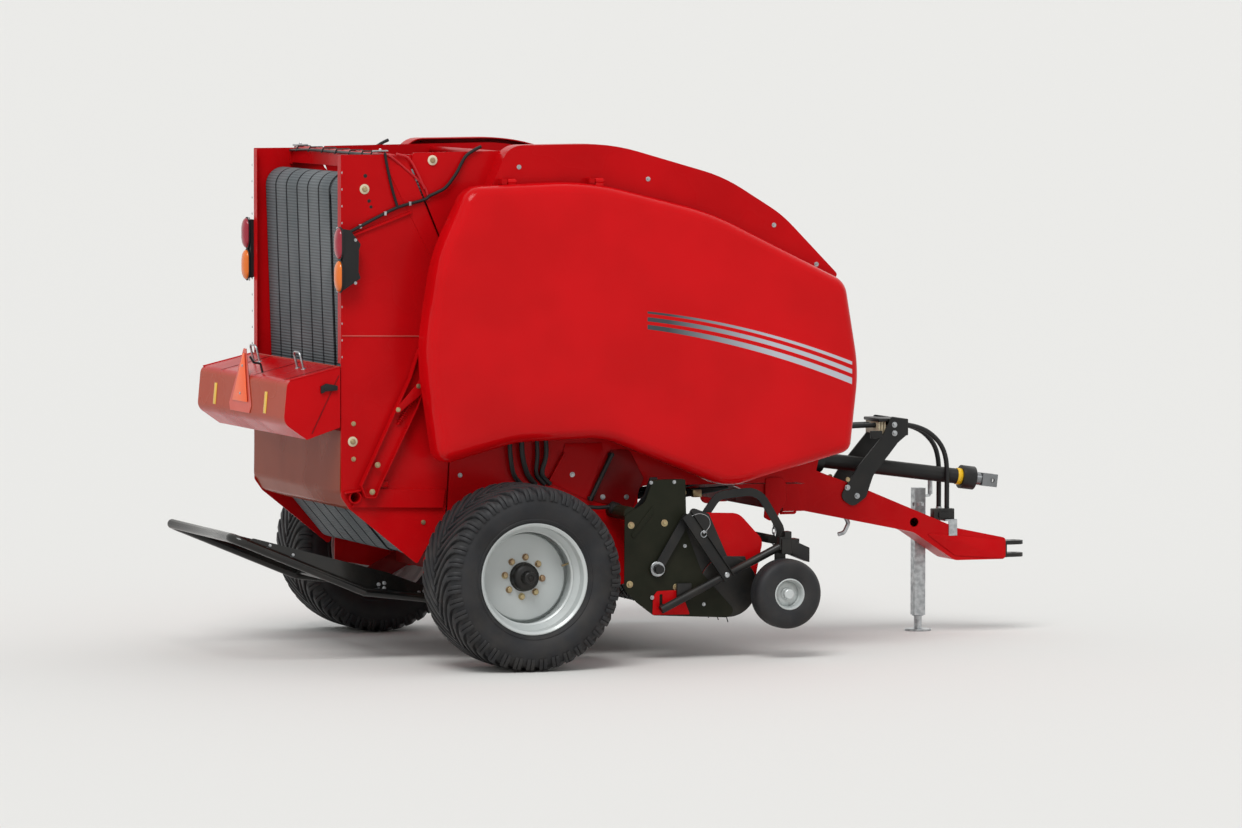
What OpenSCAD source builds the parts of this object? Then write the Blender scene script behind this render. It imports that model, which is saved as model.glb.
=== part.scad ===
// Round baler with belts, a gull-wing shield on each side and a wide pick-up.
// X points forward to the hitch, Y to the machine's left, Z up from the ground.

/* [Bale chamber] */
// Clear width between the chamber walls
chamber_w = 1562; // [1400:2:1700]
// Thickness of the chamber walls
wall_t = 8; // [6:1:12]
// Rear edge of the walls, behind the axle
rear_x = 845; // [780:1:900]
// Height of the walls' top edge
top_z = 2745; // [2700:1:2790]
// Number of belts side by side
belt_count = 8; // [6:1:10]
// Width of one belt
belt_w = 178; // [100:1:185]
// Thickness of a belt
belt_t = 7; // [5:1:10]

/* [Main wheels] */
// Distance between the two wheel centres
track_w = 2618; // [2600:2:2760]
// Outer radius of a main tyre at its lugs
tyre_r = 497; // [480:1:510]
// Width of a main tyre
tyre_w = 500; // [440:2:520]
// Height of a tread lug
lug_h = 13; // [8:1:20]
// Lugs on each shoulder
lug_count = 36; // [20:1:48]
// Radius of the rim at its flange
rim_r = 299; // [290:1:310]
// Radius of the spindle
spindle_r = 32; // [25:1:40]

/* [Side shields] */
// Outer face of a shield from the middle plane
shield_y = 1122; // [1100:1:1140]
// Depth of a shield from face to back edge
shield_depth = 165; // [120:1:170]
// Sheet thickness of the shields and fairings
skin_t = 6; // [4:1:8]
// Outer face of the crescent fairing
fairing_y = 920; // [880:1:930]
// Radius of the shield hinge pins
shield_pin_r = 8; // [6:1:10]

/* [Tailgate] */
// Radius of the tailgate's pivot pins
gate_pin_r = 20; // [15:1:25]
// Outer radius of the bottom cross tube
cross_tube_r = 34; // [28:1:38]
// Depth of the net box behind the walls
net_depth = 318; // [260:1:340]
// Half width of the net box
net_half_w = 800; // [780:1:815]

/* [Pick-up] */
// Outer face of the end plates from the middle plane
pickup_y = 1098; // [1080:1:1105]
// Radius over the tips of the tines
tine_tip_r = 222; // [200:1:235]
// Outer radius of the guard bands
band_r = 172; // [160:1:180]
// Number of guard bands
band_count = 26; // [16:1:30]
// Width of a guard band
band_w = 52; // [40:1:54]
// Tine bars round the reel
bar_count = 5; // [4:1:6]
// Radius of a gauge wheel
gauge_r = 190; // [170:1:200]
// Width of a gauge wheel
gauge_w = 146; // [120:1:160]

/* [Bale ramp] */
// Half width of the ramp over its side tubes
ramp_half_w = 640; // [580:1:680]
// Radius of the ramp's bent tube
ramp_tube_r = 26; // [20:1:30]

/* [Drawbar] */
// Half width of the drawbar box
tongue_half_w = 120; // [90:1:140]
// Forward end of the hitch
hitch_x = 3450; // [3400:1:3520]
// Height of the hitch pin's middle plane
hitch_z = 470; // [430:1:500]
// Radius of the hitch pin hole
hitch_pin_r = 16.5; // [14:0.5:20]
// Radius of the drive shaft's guard tube
guard_r = 43; // [36:1:48]

/* [Hidden] */
$fn = 48;

// Clearances: a turning fit, a seat that only rests, and between moving pieces
fit = 0.05;
seat = 0.3;
gap = 10;

wall_in = chamber_w / 2;
wall_y = wall_in + wall_t;
ground = 0;

// Seam between the tailgate and the front walls: x, z, corner radius, from the bottom up
SEAM = [[-400, 535], [-255, 800], [-215, 1500], [-228, 2143], [-460, 2690]];
// Pivot of the tailgate in the front walls' top corner
gate_x = -328;
gate_z = 2710;

// Front wall forward of the seam: x, z, corner radius, counter-clockwise
FRONT_WALL = [[-378, 440, 0], [-150, 400, 40], [560, 400, 60], [700, 380, 60], [850, 420, 60],
    [850, 930, 40], [1880, 930, 60], [1960, 1300, 300], [1940, 2035, 60], [1630, 2372, 700],
    [1290, 2580, 900], [650, 2768, 1000], [-439, top_z + 8, 12], [-444, 2700, 0],
    [-437, 2665, 0], [-218, 2143, 0], [-205, 1500, 0], [-245, 800, 0], [-378, 557, 0]];
// Tailgate wall behind the seam
GATE_WALL = concat([[-415, 535, 12]], [for (i = [0 : 4]) if (i > 0) [SEAM[i].x, SEAM[i].y, 0]],
    [[-478, top_z, 10], [-rear_x, top_z, 6], [-rear_x, 905, 30], [-800, 842, 20]]);
// Fairing above the shield
FAIRING = [[1905, 1985, 10], [1965, 2075, 20], [1640, 2403, 700], [1300, 2612, 900],
    [650, 2797, 1100], [62, 2792, 120], [-75, 2480, 10], [480, 2520, 300], [1180, 2330, 600]];
// Side shield
SHIELD = [[-385, 1075, 80], [60, 1195, 700], [560, 1212, 450], [1280, 925, 300], [1990, 1112, 70],
    [2035, 1560, 900], [1955, 2043, 120], [1180, 2425, 1500], [480, 2600, 1500],
    [-215, 2575, 130], [-395, 2210, 900], [-478, 1680, 1200]];
shield_mid = [780, 1700];
// How far the shield's face falls back towards its top and bottom
shield_bulge = 34;

// Hinge pins of a shield: places along X at one height
SHIELD_HINGES = [60, 560];
shield_pin_y = 972;
shield_pin_z = 2598;

// Rollers that carry the belts, in the belts' order: x, z, radius, side of the belt on which it lies
GATE_ROLLERS = [[-640, 950, 82.7, 1], [-412, 645, 60, 1], [-682, 2540, 92.7, 1]];
FRONT_ROLLERS = [[505, 881, 91, 1], [1700, 1130, 91, 1], [1785, 1880, 93, 1], [1270, 2370, 93, 1],
    [640, 2560, 93, 1], [-250, 2555, 93, 1], [980, 2260, 55, -1], [1560, 1790, 55, -1],
    [1490, 1260, 55, -1]];
// Rollers of the chamber's floor: x, z, radius
FLOOR_ROLLERS = [[-110, 660, 100], [170, 640, 110]];
belt_pitch = (chamber_w - 12) / belt_count;

// Pick-up: hinge, reel and gauge wheel
pickup_x = 700;
pickup_z = 800;
reel_x = 1265;
reel_z = 392;
gauge_x = 1548;
gauge_z = 357;
gauge_y = 1222;
END_PLATE = [[735, 318, 15], [830, 247, 20], [1262, 224, 40], [1300, 262, 30], [1110, 470, 60],
    [1020, 700, 30], [1012, 981, 6], [826, 981, 6], [780, 860, 60], [664, 790, 20], [662, 390, 40]];
INNER_PLATE = [[1240, 250, 60], [1420, 400, 60], [1470, 640, 60], [1330, 790, 90], [1040, 800, 60],
    [980, 500, 60]];
plate_t = 8;
reel_w = 1010;

// Jack stand on the drawbar's left side
jack_x = 2900;
jack_z = 600;
jack_y = tongue_half_w + 85;
jack_foot_r = 75;

// Cylinders of the tailgate: pins on the frame and on the tailgate
barrel_x = 680;
barrel_z = 1230;
rod_x = -330;
rod_z = 1900;
cylinder_y = 852;
cylinder_angle = atan2(rod_z - barrel_z, rod_x - barrel_x);
cylinder_len = norm([rod_x - barrel_x, rod_z - barrel_z]);
cylinder_pin_r = 18;

// The whole model is shifted along X so that its origin is under the middle of its length
ramp_rear_x = -1392;
frame_shift = -(hitch_x + ramp_rear_x - ramp_tube_r) / 2;

// Corner rounding of a closed table of x, z, radius
function unit(v) = v / norm(v);
function at(t, i) = [t[(i + len(t)) % len(t)].x, t[(i + len(t)) % len(t)].y];
function arc(c, r, a0, a1, n) = let (d = ((a1 - a0 + 540) % 360) - 180)
    [for (i = [0 : n]) c + r * [cos(a0 + d * i / n), sin(a0 + d * i / n)]];
function corner(p0, p, p1, r, n) = r <= 0 ? [p] : let (a = unit(p0 - p), b = unit(p1 - p),
    half = acos(a * b) / 2, q0 = p + a * r / tan(half), q1 = p + b * r / tan(half),
    c = p + unit(a + b) * r / sin(half), v0 = q0 - c, v1 = q1 - c)
    arc(c, r, atan2(v0.y, v0.x), atan2(v1.y, v1.x), n);
function outline(t, n = 5) = [for (i = [0 : len(t) - 1])
    each corner(at(t, i - 1), at(t, i), at(t, i + 1), t[i][2], n)];

// Path of a belt round a table of rollers, at distance d outwards from their faces
function roll_r(c, d) = c[3] > 0 ? c[2] + seat + d : -(c[2] + seat + belt_t - d);
function run(c, e, d) = let (v = [e.x - c.x, e.y - c.y]) atan2(v.y, v.x)
    + asin((roll_r(c, d) - roll_r(e, d)) / norm(v));
function wrap(c, a0, a1, d) = let (s = c[3], w = s > 0 ? (a1 - a0 + 720) % 360 : -((a0 - a1 + 720) % 360),
    n = max(1, ceil(abs(w) / 8)), r = roll_r(c, d))
    [for (i = [0 : n]) [c.x, c.y] + r * [cos(a0 - 90 + w * i / n), sin(a0 - 90 + w * i / n)]];
function belt_path(t, d) = let (n = len(t), a = [for (i = [0 : n - 1]) run(t[i], t[(i + 1) % n], d)])
    [for (i = [0 : n - 1]) each wrap(t[i], a[(i + n - 1) % n], a[i], d)];

// A closed counter-clockwise table moved inwards by d, with its radii following
function left(v) = [-v.y, v.x];
function moved(t, i, d) = let (u = unit(at(t, i) - at(t, i - 1)), w = unit(at(t, i + 1) - at(t, i)),
    m = left(u) + left(w), turn = u.x * w.y - u.y * w.x, p = at(t, i) + m * d / (1 + u * w))
    [p.x, p.y, t[i][2] <= 0 ? 0 : max(1, t[i][2] - sign(turn) * d)];
function inset(t, d) = [for (i = [0 : len(t) - 1]) moved(t, i, d)];

// An open table rounded at its inner corners, and the strip of thickness d on its left
function path(t, n = 5) = [for (i = [0 : len(t) - 1])
    each (i == 0 || i == len(t) - 1) ? [at(t, i)] : corner(at(t, i - 1), at(t, i), at(t, i + 1),
    t[i][2], n)];
function moved_end(t, i, j, d) = let (u = unit(at(t, max(i, j)) - at(t, min(i, j))),
    p = at(t, i) + left(u) * d) [p.x, p.y, 0];
function shifted(t, d) = [for (i = [0 : len(t) - 1]) i == 0 ? moved_end(t, 0, 1, d)
    : i == len(t) - 1 ? moved_end(t, i, i - 1, d) : moved(t, i, d)];
function reversed(p) = [for (i = [len(p) - 1 : -1 : 0]) p[i]];
function strip(t, d, n = 5) = concat(path(t, n), reversed(path(shifted(t, d), n)));

// Both sides of the machine from its right-hand side
module pair() {
    children();
    mirror([0, 1, 0]) children();
}

module side(left) {
    mirror([0, left ? 1 : 0, 0]) children();
}

// A flat shape in the X-Z plane, thick from y to y + t
module xz(y, t) {
    translate([0, y + t, 0]) rotate([90, 0, 0]) linear_extrude(t) children();
}

// A round bar along Y from y0 to y1
module bar(x, z, r, y0, y1) {
    translate([x, y1, z]) rotate([90, 0, 0]) cylinder(r = r, h = y1 - y0);
}

// A round bar between two points
module rod(a, b, r) {
    v = b - a;
    translate(a) rotate([0, acos(v.z / norm(v)), atan2(v.y, v.x)]) cylinder(r = r, h = norm(v));
}

// A flat bar between two points of the X-Z plane, of width w, thick from y to y + t
module flat_bar(a, b, w, y, t) {
    v = b - a;
    r = w / 2 - 1;
    xz(y, t) translate(a) rotate(atan2(v.y, v.x))
        polygon(outline([[-w / 2, -w / 2, r], [norm(v) + w / 2, -w / 2, r],
            [norm(v) + w / 2, w / 2, r], [-w / 2, w / 2, r]]));
}

// A skin through rings of equal length, closed by a fan or a flat face at each end
module loft(rings, c0, c1) {
    n = len(rings[0]);
    m = len(rings);
    polyhedron(points = concat([c0, c1], [for (r = rings) each r]),
        faces = concat(
            [for (i = [0 : n - 1]) [0, 2 + (i + 1) % n, 2 + i]],
            [for (k = [0 : m - 2], i = [0 : n - 1]) [2 + k * n + i, 2 + k * n + (i + 1) % n,
                2 + (k + 1) * n + (i + 1) % n]],
            [for (k = [0 : m - 2], i = [0 : n - 1]) [2 + k * n + i,
                2 + (k + 1) * n + (i + 1) % n, 2 + (k + 1) * n + i]],
            [for (i = [0 : n - 1]) [1, 2 + (m - 1) * n + i, 2 + (m - 1) * n + (i + 1) % n]]));
}

// Tube swept along a list of points
function ring_at(p, dir, r, k) = let (d = unit(dir), a = unit(cross(d, [0, 1, 0])), b = cross(d, a))
    [for (i = [0 : k - 1]) p + r * (a * cos(360 * i / k) + b * sin(360 * i / k))];
module tube(p, r, k = 10) {
    n = len(p);
    rings = [for (i = [0 : n - 1]) ring_at(p[i], p[min(i + 1, n - 1)] - p[max(i - 1, 0)], r, k)];
    polyhedron(points = [for (g = rings) each g],
        faces = concat([[for (i = [0 : k - 1]) i]],
            [for (j = [0 : n - 2], i = [0 : k - 1]) [j * k + i, (j + 1) * k + i,
                (j + 1) * k + (i + 1) % k, j * k + (i + 1) % k]],
            [[for (i = [k - 1 : -1 : 0]) (n - 1) * k + i]]));
}

// Walls of the front half with the tailgate's pivot pins
module front_frame() {
    color("#b80d14") pair() {
        xz(-wall_y, wall_t) difference() {
            polygon(outline(FRONT_WALL));
            translate([-60 - seat, tyre_r - 60 - seat]) square(120 + 2 * seat);
            translate([pickup_x, pickup_z]) circle(20 + fit);
            translate([rotor_x, rotor_z]) circle(30 + fit);
        }
        bar(gate_x, gate_z, gate_pin_r, -wall_y - 3, -wall_in + 22);
        bar(gate_x, gate_z, 28, -wall_y - 5, -wall_y);
        bar(barrel_x, barrel_z, 40, -wall_y - 14, -wall_y);
        bar(barrel_x, barrel_z, cylinder_pin_r, -cylinder_y - 40, -wall_y);
    }
}

// Fairing that stands over a shield, its edge rolled in to the wall
function fairing_ring(d, y) = [for (p = outline(inset(FAIRING, d), 4)) [p.x, -y, p.y]];
module fairing() {
    difference() {
        xz(-fairing_y, fairing_y - wall_y) polygon(outline(FAIRING));
        xz(-fairing_y + skin_t, fairing_y) polygon(outline(inset(FAIRING, skin_t)));
    }
    for (x = SHIELD_HINGES) {
        translate([x - 60, -shield_pin_y - 14, shield_pin_z - 14])
            cube([30, shield_pin_y + 14 - fairing_y, 28]);
        translate([x - 60, -shield_pin_y, shield_pin_z])
            rotate([0, 90, 0]) cylinder(r = shield_pin_r, h = 88);
    }
}

// Shield: a bulged face, a rounded edge and an open back
function bulge(z) = shield_bulge * pow((z - shield_mid.y) / 800, 2);
function shield_ring(d, y, s = 1) = [for (p = outline(inset(SHIELD, d), 4))
    let (q = shield_mid + (p - shield_mid) * s)
    [q.x, -y + bulge(q.y) * (shield_depth - shield_y + y) / shield_depth, q.y]];
module shield() {
    // Columns: inset of the ring, depth behind the face
    edge = [[62, 3], [30, 16], [9, 48], [0, 100], [0, shield_depth]];
    t = skin_t;
    loft(concat([for (s = [0.35, 0.7]) shield_ring(62, shield_y, s)],
            [for (e = edge) shield_ring(e[0], shield_y - e[1])],
            [for (i = [4 : -1 : 0]) let (e = edge[i])
                shield_ring(e[0] + t, shield_y - max(e[1], t) - (i == 4 ? 0 : 1))],
            [for (s = [0.7, 0.35]) shield_ring(62 + t, shield_y - t, s)]),
        [shield_mid.x, -shield_y + bulge(shield_mid.y), shield_mid.y],
        [shield_mid.x, -shield_y + t + bulge(shield_mid.y), shield_mid.y]);
}

module shield_side() {
    color("#d01018") {
        difference() {
            shield();
            for (x = SHIELD_HINGES)
                translate([x - 68, -shield_pin_y - 30, shield_pin_z - 48]) cube([42, 60, 80]);
        }
        for (x = SHIELD_HINGES)
            difference() {
                union() {
                    translate([x - 24, -shield_pin_y, shield_pin_z])
                        rotate([0, 90, 0]) cylinder(r = 16, h = 44);
                    translate([x - 24, -shield_pin_y - 12, shield_pin_z - 62]) cube([44, 12, 62]);
                    translate([x - 24, -shield_pin_y - 60, shield_pin_z - 62]) cube([44, 60, 8]);
                }
                translate([x - 70, -shield_pin_y, shield_pin_z])
                    rotate([0, 90, 0]) cylinder(r = shield_pin_r + fit, h = 140);
            }
    }
}

// Axle beam under the chamber, with spindles
hub_in = track_w / 2 - 110;
module axle_beam() {
    color("#a00c12") {
        translate([-60, -hub_in + 14, tyre_r - 60]) cube([120, 2 * hub_in - 28, 120]);
        pair() {
            bar(0, tyre_r, 62, -hub_in, -hub_in + 20);
            bar(0, tyre_r, spindle_r, -track_w / 2 - 62, -hub_in + 20);
            xz(-ramp_half_w - 32, 14) difference() {
                polygon(outline([[-285, 292, 30], [-215, 292, 30], [40, 430, 5], [40, 450, 5],
                    [-50, 500, 5], [-285, 372, 30]]));
                translate([ramp_hinge_x, ramp_hinge_z]) circle(16 + fit);
            }
        }
    }
}

// Tyre and rim about the Y axis at their own centre, outer side towards -Y
module tyre(r, w, bead, h) {
    rotate([90, 0, 0]) rotate_extrude($fn = 96)
        polygon([[bead, -0.41 * w], [bead + 14, -0.412 * w], [bead + 30, -0.46 * w],
            [0.74 * r, -w / 2], [0.81 * r, -w / 2], [0.9 * r, -0.475 * w], [r - h - 14, -0.43 * w],
            [r - h, -0.37 * w], [r - h, 0.37 * w], [r - h - 14, 0.43 * w], [0.9 * r, 0.475 * w],
            [0.81 * r, w / 2], [0.74 * r, w / 2], [bead + 30, 0.46 * w], [bead + 14, 0.412 * w],
            [bead, 0.41 * w]]);
}

module main_tyre() {
    color("#26282a") {
        tyre(tyre_r, tyre_w, rim_r - 12.7, lug_h);
        intersection() {
            bar(0, 0, tyre_r, -tyre_w, tyre_w);
            for (i = [0 : lug_count - 1], s = [-1, 1])
                rotate([0, 360 * (i + (s > 0 ? 0.5 : 0)) / lug_count, 0])
                    translate([-17, s * 0.235 * tyre_w - 0.155 * tyre_w, tyre_r - lug_h - 10])
                        rotate([0, 0, s * 14]) cube([34, 0.31 * tyre_w, lug_h + 20]);
        }
    }
}

module main_rim() {
    seat_r = rim_r - 13;
    color("#c9ccd0") {
        rotate([90, 0, 0]) rotate_extrude($fn = 96)
            polygon([[rim_r, -216], [rim_r, -207], [seat_r, -206], [seat_r, -150], [262, -122],
                [262, 122], [seat_r, 150], [seat_r, 206], [rim_r, 207], [rim_r, 216],
                [seat_r - 6, 216], [seat_r - 8, 152], [254, 124], [254, 8], [0, 8], [0, -4],
                [254, -4], [254, -124], [seat_r - 8, -152], [seat_r - 6, -216]]);
    }
}

module main_hub() {
    difference() {
        union() {
            main_rim();
            color("#1c1d1f") {
                bar(0, 0, 73, -78, 0);
                bar(0, 0, 33, -120, -70);
                bar(0, 0, 105, 0, track_w / 2 - hub_in - 2);
            }
        }
        bar(0, 0, spindle_r + fit, -66, track_w / 2);
    }
}

// Cross beams at the front, end plates and the chain's plate
module front_beams() {
    color("#a90d14") {
        translate([1700, -wall_in, 770]) cube([130, 2 * wall_in, 150]);
        pair() {
            xz(-wall_in, 60) polygon(outline([[1400, 925, 5], [1720, 785, 10], [1720, 925, 10]]));
            xz(-520, 12) polygon(outline([[1700, 706, 40], [1826, 760, 20], [1826, 930, 4],
                [1700, 930, 4]]));
        }
        for (b = [[1500, 2400, 25], [200, 2726, 22], [1915, 1500, 22]])
            bar(b[0], b[1], b[2], -wall_in, wall_in);
    }
}

// Rollers and belts
module rollers(table, half) {
    for (r = table)
        bar(r[0], r[1], r[2], -half, half);
}

module belts(table) {
    for (i = [0 : belt_count - 1])
        xz(-belt_w / 2 + (i - (belt_count - 1) / 2) * belt_pitch, belt_w) difference() {
            polygon(belt_path(table, belt_t));
            polygon(belt_path(table, 0));
        }
}

// Feed rotor behind the pick-up
rotor_x = 700;
rotor_z = 560;
module feed_rotor() {
    color("#7c0a10") {
        bar(rotor_x, rotor_z, 90, -wall_in + 6, wall_in - 6);
        bar(rotor_x, rotor_z, 30, -wall_y - 8, wall_y + 8);
        for (i = [-6 : 6])
            translate([rotor_x, i * 110 - 6, rotor_z]) rotate([-90, (i + 6) * 14, 0])
                cylinder(r = 170, h = 12, $fn = 3);
    }
}

// Gearbox behind the drawbar and the main shaft stub
gear_x = 1960;
gear_z = 1010;
// Bulkhead on the gearbox's back for the hoses
bulkhead_x = gear_x - 13;
hose_start_z = gear_z + 155;
module gearbox() {
    color("#3a3d40") {
        translate([gear_x - 140, -130, gear_z - 50]) cube([230, 260, 160]);
        translate([gear_x + 90, 0, gear_z]) rotate([0, 90, 0]) cylinder(r = 44, h = 40);
        translate([gear_x + 130, 0, gear_z]) rotate([0, 90, 0]) cylinder(r = 17.5, h = 108.1);
        translate([gear_x - 110, -wall_in, gear_z + 20]) cube([60, 2 * wall_in, 60]);
        translate([bulkhead_x - 12, -95, gear_z + 108]) cube([12, 190, 85]);
        for (y = [-60, 60])
            translate([bulkhead_x - 1, y, hose_start_z]) rotate([0, 90, 0]) cylinder(r = 19, h = 29);
    }
}

// Drawbar: a box of two side plates with a top and a bottom plate
TONGUE = [[1830, 770, 0], [2115, 713, 200], [2740, 585, 100], [2990, 420, 60], [3300, 420, 20],
    [3300, 540, 20], [3010, 600, 150], [2480, 820, 200], [2130, 952, 60], [1830, 925, 0]];
module drawbar() {
    color("#b00d14") {
        difference() {
            xz(-tongue_half_w, 2 * tongue_half_w) polygon(outline(TONGUE));
            xz(-tongue_half_w + 10, 2 * tongue_half_w - 20) polygon(outline(inset(TONGUE, 10)));
            bar(2745, 640, 26, -tongue_half_w - 1, -tongue_half_w + 11);
            translate([1800, -tongue_half_w + 10, 880]) cube([560, 2 * tongue_half_w - 20, 200]);
        }
    }
}

module hitch_clevis() {
    color("#2b2d30") difference() {
        union() {
            for (s = [-1, 1])
                translate([0, 0, s > 0 ? hitch_z + 24 : hitch_z - 46]) linear_extrude(22)
                    polygon(outline([[3300, -60, 0], [hitch_x, -48, 48], [hitch_x, 48, 48],
                        [3300, 60, 0]]));
            translate([3300, -70, hitch_z - 46]) cube([30, 140, 92]);
        }
        translate([hitch_x - 52, 0, 0]) cylinder(r = hitch_pin_r, h = 1000);
    }
}

// Drive shaft: guard tube with cones, and the yoke at its free end
shaft_a = [gear_x + 150, 0, gear_z];
shaft_b = [3150, 0, 872];
shaft_dir = unit(shaft_b - shaft_a);
module shaft_guard() {
    color("#1b1c1e") difference() {
        union() {
            rod(shaft_a + shaft_dir * 60, shaft_b, guard_r);
            rod(shaft_a + shaft_dir * 2, shaft_a + shaft_dir * 120, 70);
            rod(shaft_b - shaft_dir * 80, shaft_b, 66);
        }
        rod(shaft_a - shaft_dir * 10, shaft_a + shaft_dir * 90, 62);
        rod(shaft_b - shaft_dir * 60, shaft_b + shaft_dir * 10, 58);
    }
}

module shaft_yoke() {
    color("#33363a") {
        rod(shaft_b - shaft_dir * (60 - seat), shaft_b + shaft_dir * 50, 34);
        translate(shaft_b + shaft_dir * 40) rotate([0, 7, 0]) difference() {
            translate([0, -48, -36]) cube([90, 96, 72]);
            translate([30, -26, -60]) cube([80, 52, 120]);
            translate([58, 70, 0]) rotate([90, 0, 0]) cylinder(r = 15, h = 140);
        }
    }
}

// Holder that lifts the hoses over the drawbar and carries the drive shaft's rest
HOLDER = [[2290, 790, 40], [2372, 735, 40], [2450, 790, 40], [2492, 910, 80], [2640, 1090, 60],
    [2690, 1130, 15], [2690, 1222, 12], [2600, 1235, 12], [2548, 1130, 80], [2400, 960, 100]];
module hose_holder() {
    color("#17181a") {
        xz(-tongue_half_w - 12, 12) polygon(outline(HOLDER));
        xz(tongue_half_w, 12) polygon(outline(HOLDER));
        translate([2600, -tongue_half_w, 1150]) cube([80, 2 * tongue_half_w, 20]);
        translate([2600, -tongue_half_w, 1203]) cube([80, 2 * tongue_half_w, 20]);
    }
}

// Hoses: route points chosen by hand, from the bulkhead over the holder to the parking block
HOSE_UPPER = [[bulkhead_x + 28, -60, hose_start_z], [2060, -60, hose_start_z], [2150, -58, 1169],
    [2260, -55, 1176], [2380, -52, 1183], [2500, -50, 1186], [2600, -50, 1186.5],
    [2680, -50, 1186.5], [2760, -50, 1178], [2840, -52, 1150], [2900, -54, 1105],
    [2940, -57, 1050], [2960, -60, 985], [2966, -60, 910], [2966, -60, 840], [2966, -60, 775],
    [2966, -60, 712]];
HOSE_LOWER = [for (p = HOSE_UPPER) [p.x, -p.y, p.z]];
hose_r = 14;
coupler_z = 712;
module hose_couplers() {
    color("#8e9297") {
        for (y = [-60, 60])
            translate([2966, y, 648]) cylinder(r = 17, h = coupler_z - 648);
        translate([2930, -tongue_half_w - 8, 642]) cube([72, 2 * tongue_half_w + 16, 10]);
        pair() translate([2952, -tongue_half_w - 8, 560]) cube([50, 8, 86]);
    }
}

// Jack stand: a socket on the drawbar and a leg that swings up backwards
module jack_socket() {
    color("#b00d14") {
        bar(jack_x, jack_z, 45, tongue_half_w, tongue_half_w + 14);
        bar(jack_x, jack_z, 22, tongue_half_w, jack_y + 50);
    }
}

module jack_leg() {
    color("#8b8f94") difference() {
        union() {
            translate([jack_x - 32, jack_y - 32, 90]) cube([64, 64, jack_z + 120]);
            translate([jack_x, jack_y, 10]) cylinder(r = 22, h = 100);
            translate([jack_x, jack_y, 0]) cylinder(r = jack_foot_r, h = 12);
            bar(jack_x, jack_z, 44, tongue_half_w + 14 + seat, jack_y + 42);
        }
        bar(jack_x, jack_z, 22 + fit, 0, 400);
    }
}

// Walls of the tailgate, with a folded band along the seam and an arm to the pivot on each side
SEAM_BAND = [[-302, 2120], [-238, 2143], [-468, 2690], [-595, 2690]];
module tailgate_walls() {
    color("#c40e16") pair() {
        difference() {
            union() {
                xz(-wall_y, wall_t) polygon(outline(GATE_WALL));
                xz(-wall_y, 56) polygon([[-rear_x, 1625], [-rear_x, top_z - 4],
                    [-rear_x + 4, top_z - 4], [-rear_x + 4, 1625]]);
                xz(-wall_y - 20, 21) polygon([[-790, 852], [-275, 838], [-262, 936], [-720, 948]]);
                xz(-wall_y - 4, 5) polygon(SEAM_BAND);
                xz(-wall_in - 1, 7) polygon(outline([[-640, 2655, 5], [-545, 2655, 5],
                    [-545, 2738, 5], [-640, 2738, 5]]));
                xz(-wall_in + 6, 12) polygon(outline([[-640, 2655, 5], [-328, 2672, 36],
                    [-288, 2748, 36], [-640, 2738, 5]]));
                bar(rod_x, rod_z, 40, -wall_y - 14, -wall_y);
            }
            bar(gate_x, gate_z, gate_pin_r + fit, -wall_y - 20, -wall_in + 60);
            bar(-774, 905, cross_tube_r + fit, -wall_y - 60, 0);
        }
    }
}

// Rear sheets between the walls: under the net box, rolled forward at the bottom
LOWER_PANEL = [[-845, 1330, 0], [-850, 930, 60], [-800, 848, 40], [-700, 815, 0]];
module tailgate_panels() {
    color("#bb2c1c") {
        xz(-wall_in, chamber_w) polygon(strip(LOWER_PANEL, 5));
        translate([-825, -wall_in, 1590]) cube([40, chamber_w, 6]);
    }
}

// Beams across the tailgate
module tailgate_beams() {
    color("#c40e16") {
        difference() {
            bar(-774, 905, cross_tube_r, -wall_y - 34, wall_y + 34);
            bar(-774, 905, cross_tube_r - 6, -wall_y - 40, wall_y + 40);
        }
        translate([-630, -wall_in + 18 + seat, 2664]) cube([70, chamber_w - 36 - 2 * seat, 70]);
    }
}

// Latch arms on both sides: an open channel that stands off the wall, with a spring in it
LATCH = [[-752, 968, 10], [-728, 902, 20], [-668, 900, 20], [-640, 965, 20], [-430, 1385, 60],
    [-368, 1560, 60], [-362, 1690, 20], [-420, 1705, 20], [-476, 1540, 60]];
latch_y = wall_y + 20 + seat;
latch_depth = 44;
module latch_arms() {
    color("#c40e16") pair() {
        difference() {
            xz(-latch_y - latch_depth, latch_depth) polygon(outline(LATCH));
            xz(-latch_y - latch_depth - 1, latch_depth - 7) polygon(outline(inset(LATCH, 6)));
        }
        for (p = [[-660, 1080], [-430, 1560]])
            bar(p[0], p[1], 18, -latch_y - 2, -wall_y);
    }
}

spring_r = 17;
module latch_springs() {
    y = -latch_y - 8 - seat - spring_r;
    color("#b00d14") pair() rod([-538, y, 1292], [-432, y, 1452], spring_r);
}

// Lamps on both sides of the tailgate
lamp_x = -862;
lamp_y = 845;
LAMPS = [2272, 2096];
// Half the straight part of a tall lamp
lamp_reach = 37.5;
module lamp_brackets() {
    color("#151617") pair() {
        xz(-wall_y - 84, 84) polygon(outline([[lamp_x, 2018, 6], [-820, 2046, 10], [-760, 2085, 10],
            [-772, 2118, 10], [-770, 2235, 10], [-760, 2268, 10], [-820, 2344, 10],
            [lamp_x, 2350, 6]]));
        for (z = LAMPS) translate([lamp_x, -lamp_y, z]) rotate([0, -90, 0]) {
            for (k = [-1, 1]) translate([k * lamp_reach, 0, 0]) cylinder(r = 47, h = 8);
            translate([-lamp_reach, -46.7, 0]) cube([2 * lamp_reach, 93.4, 7.7]);
        }
    }
}

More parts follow.
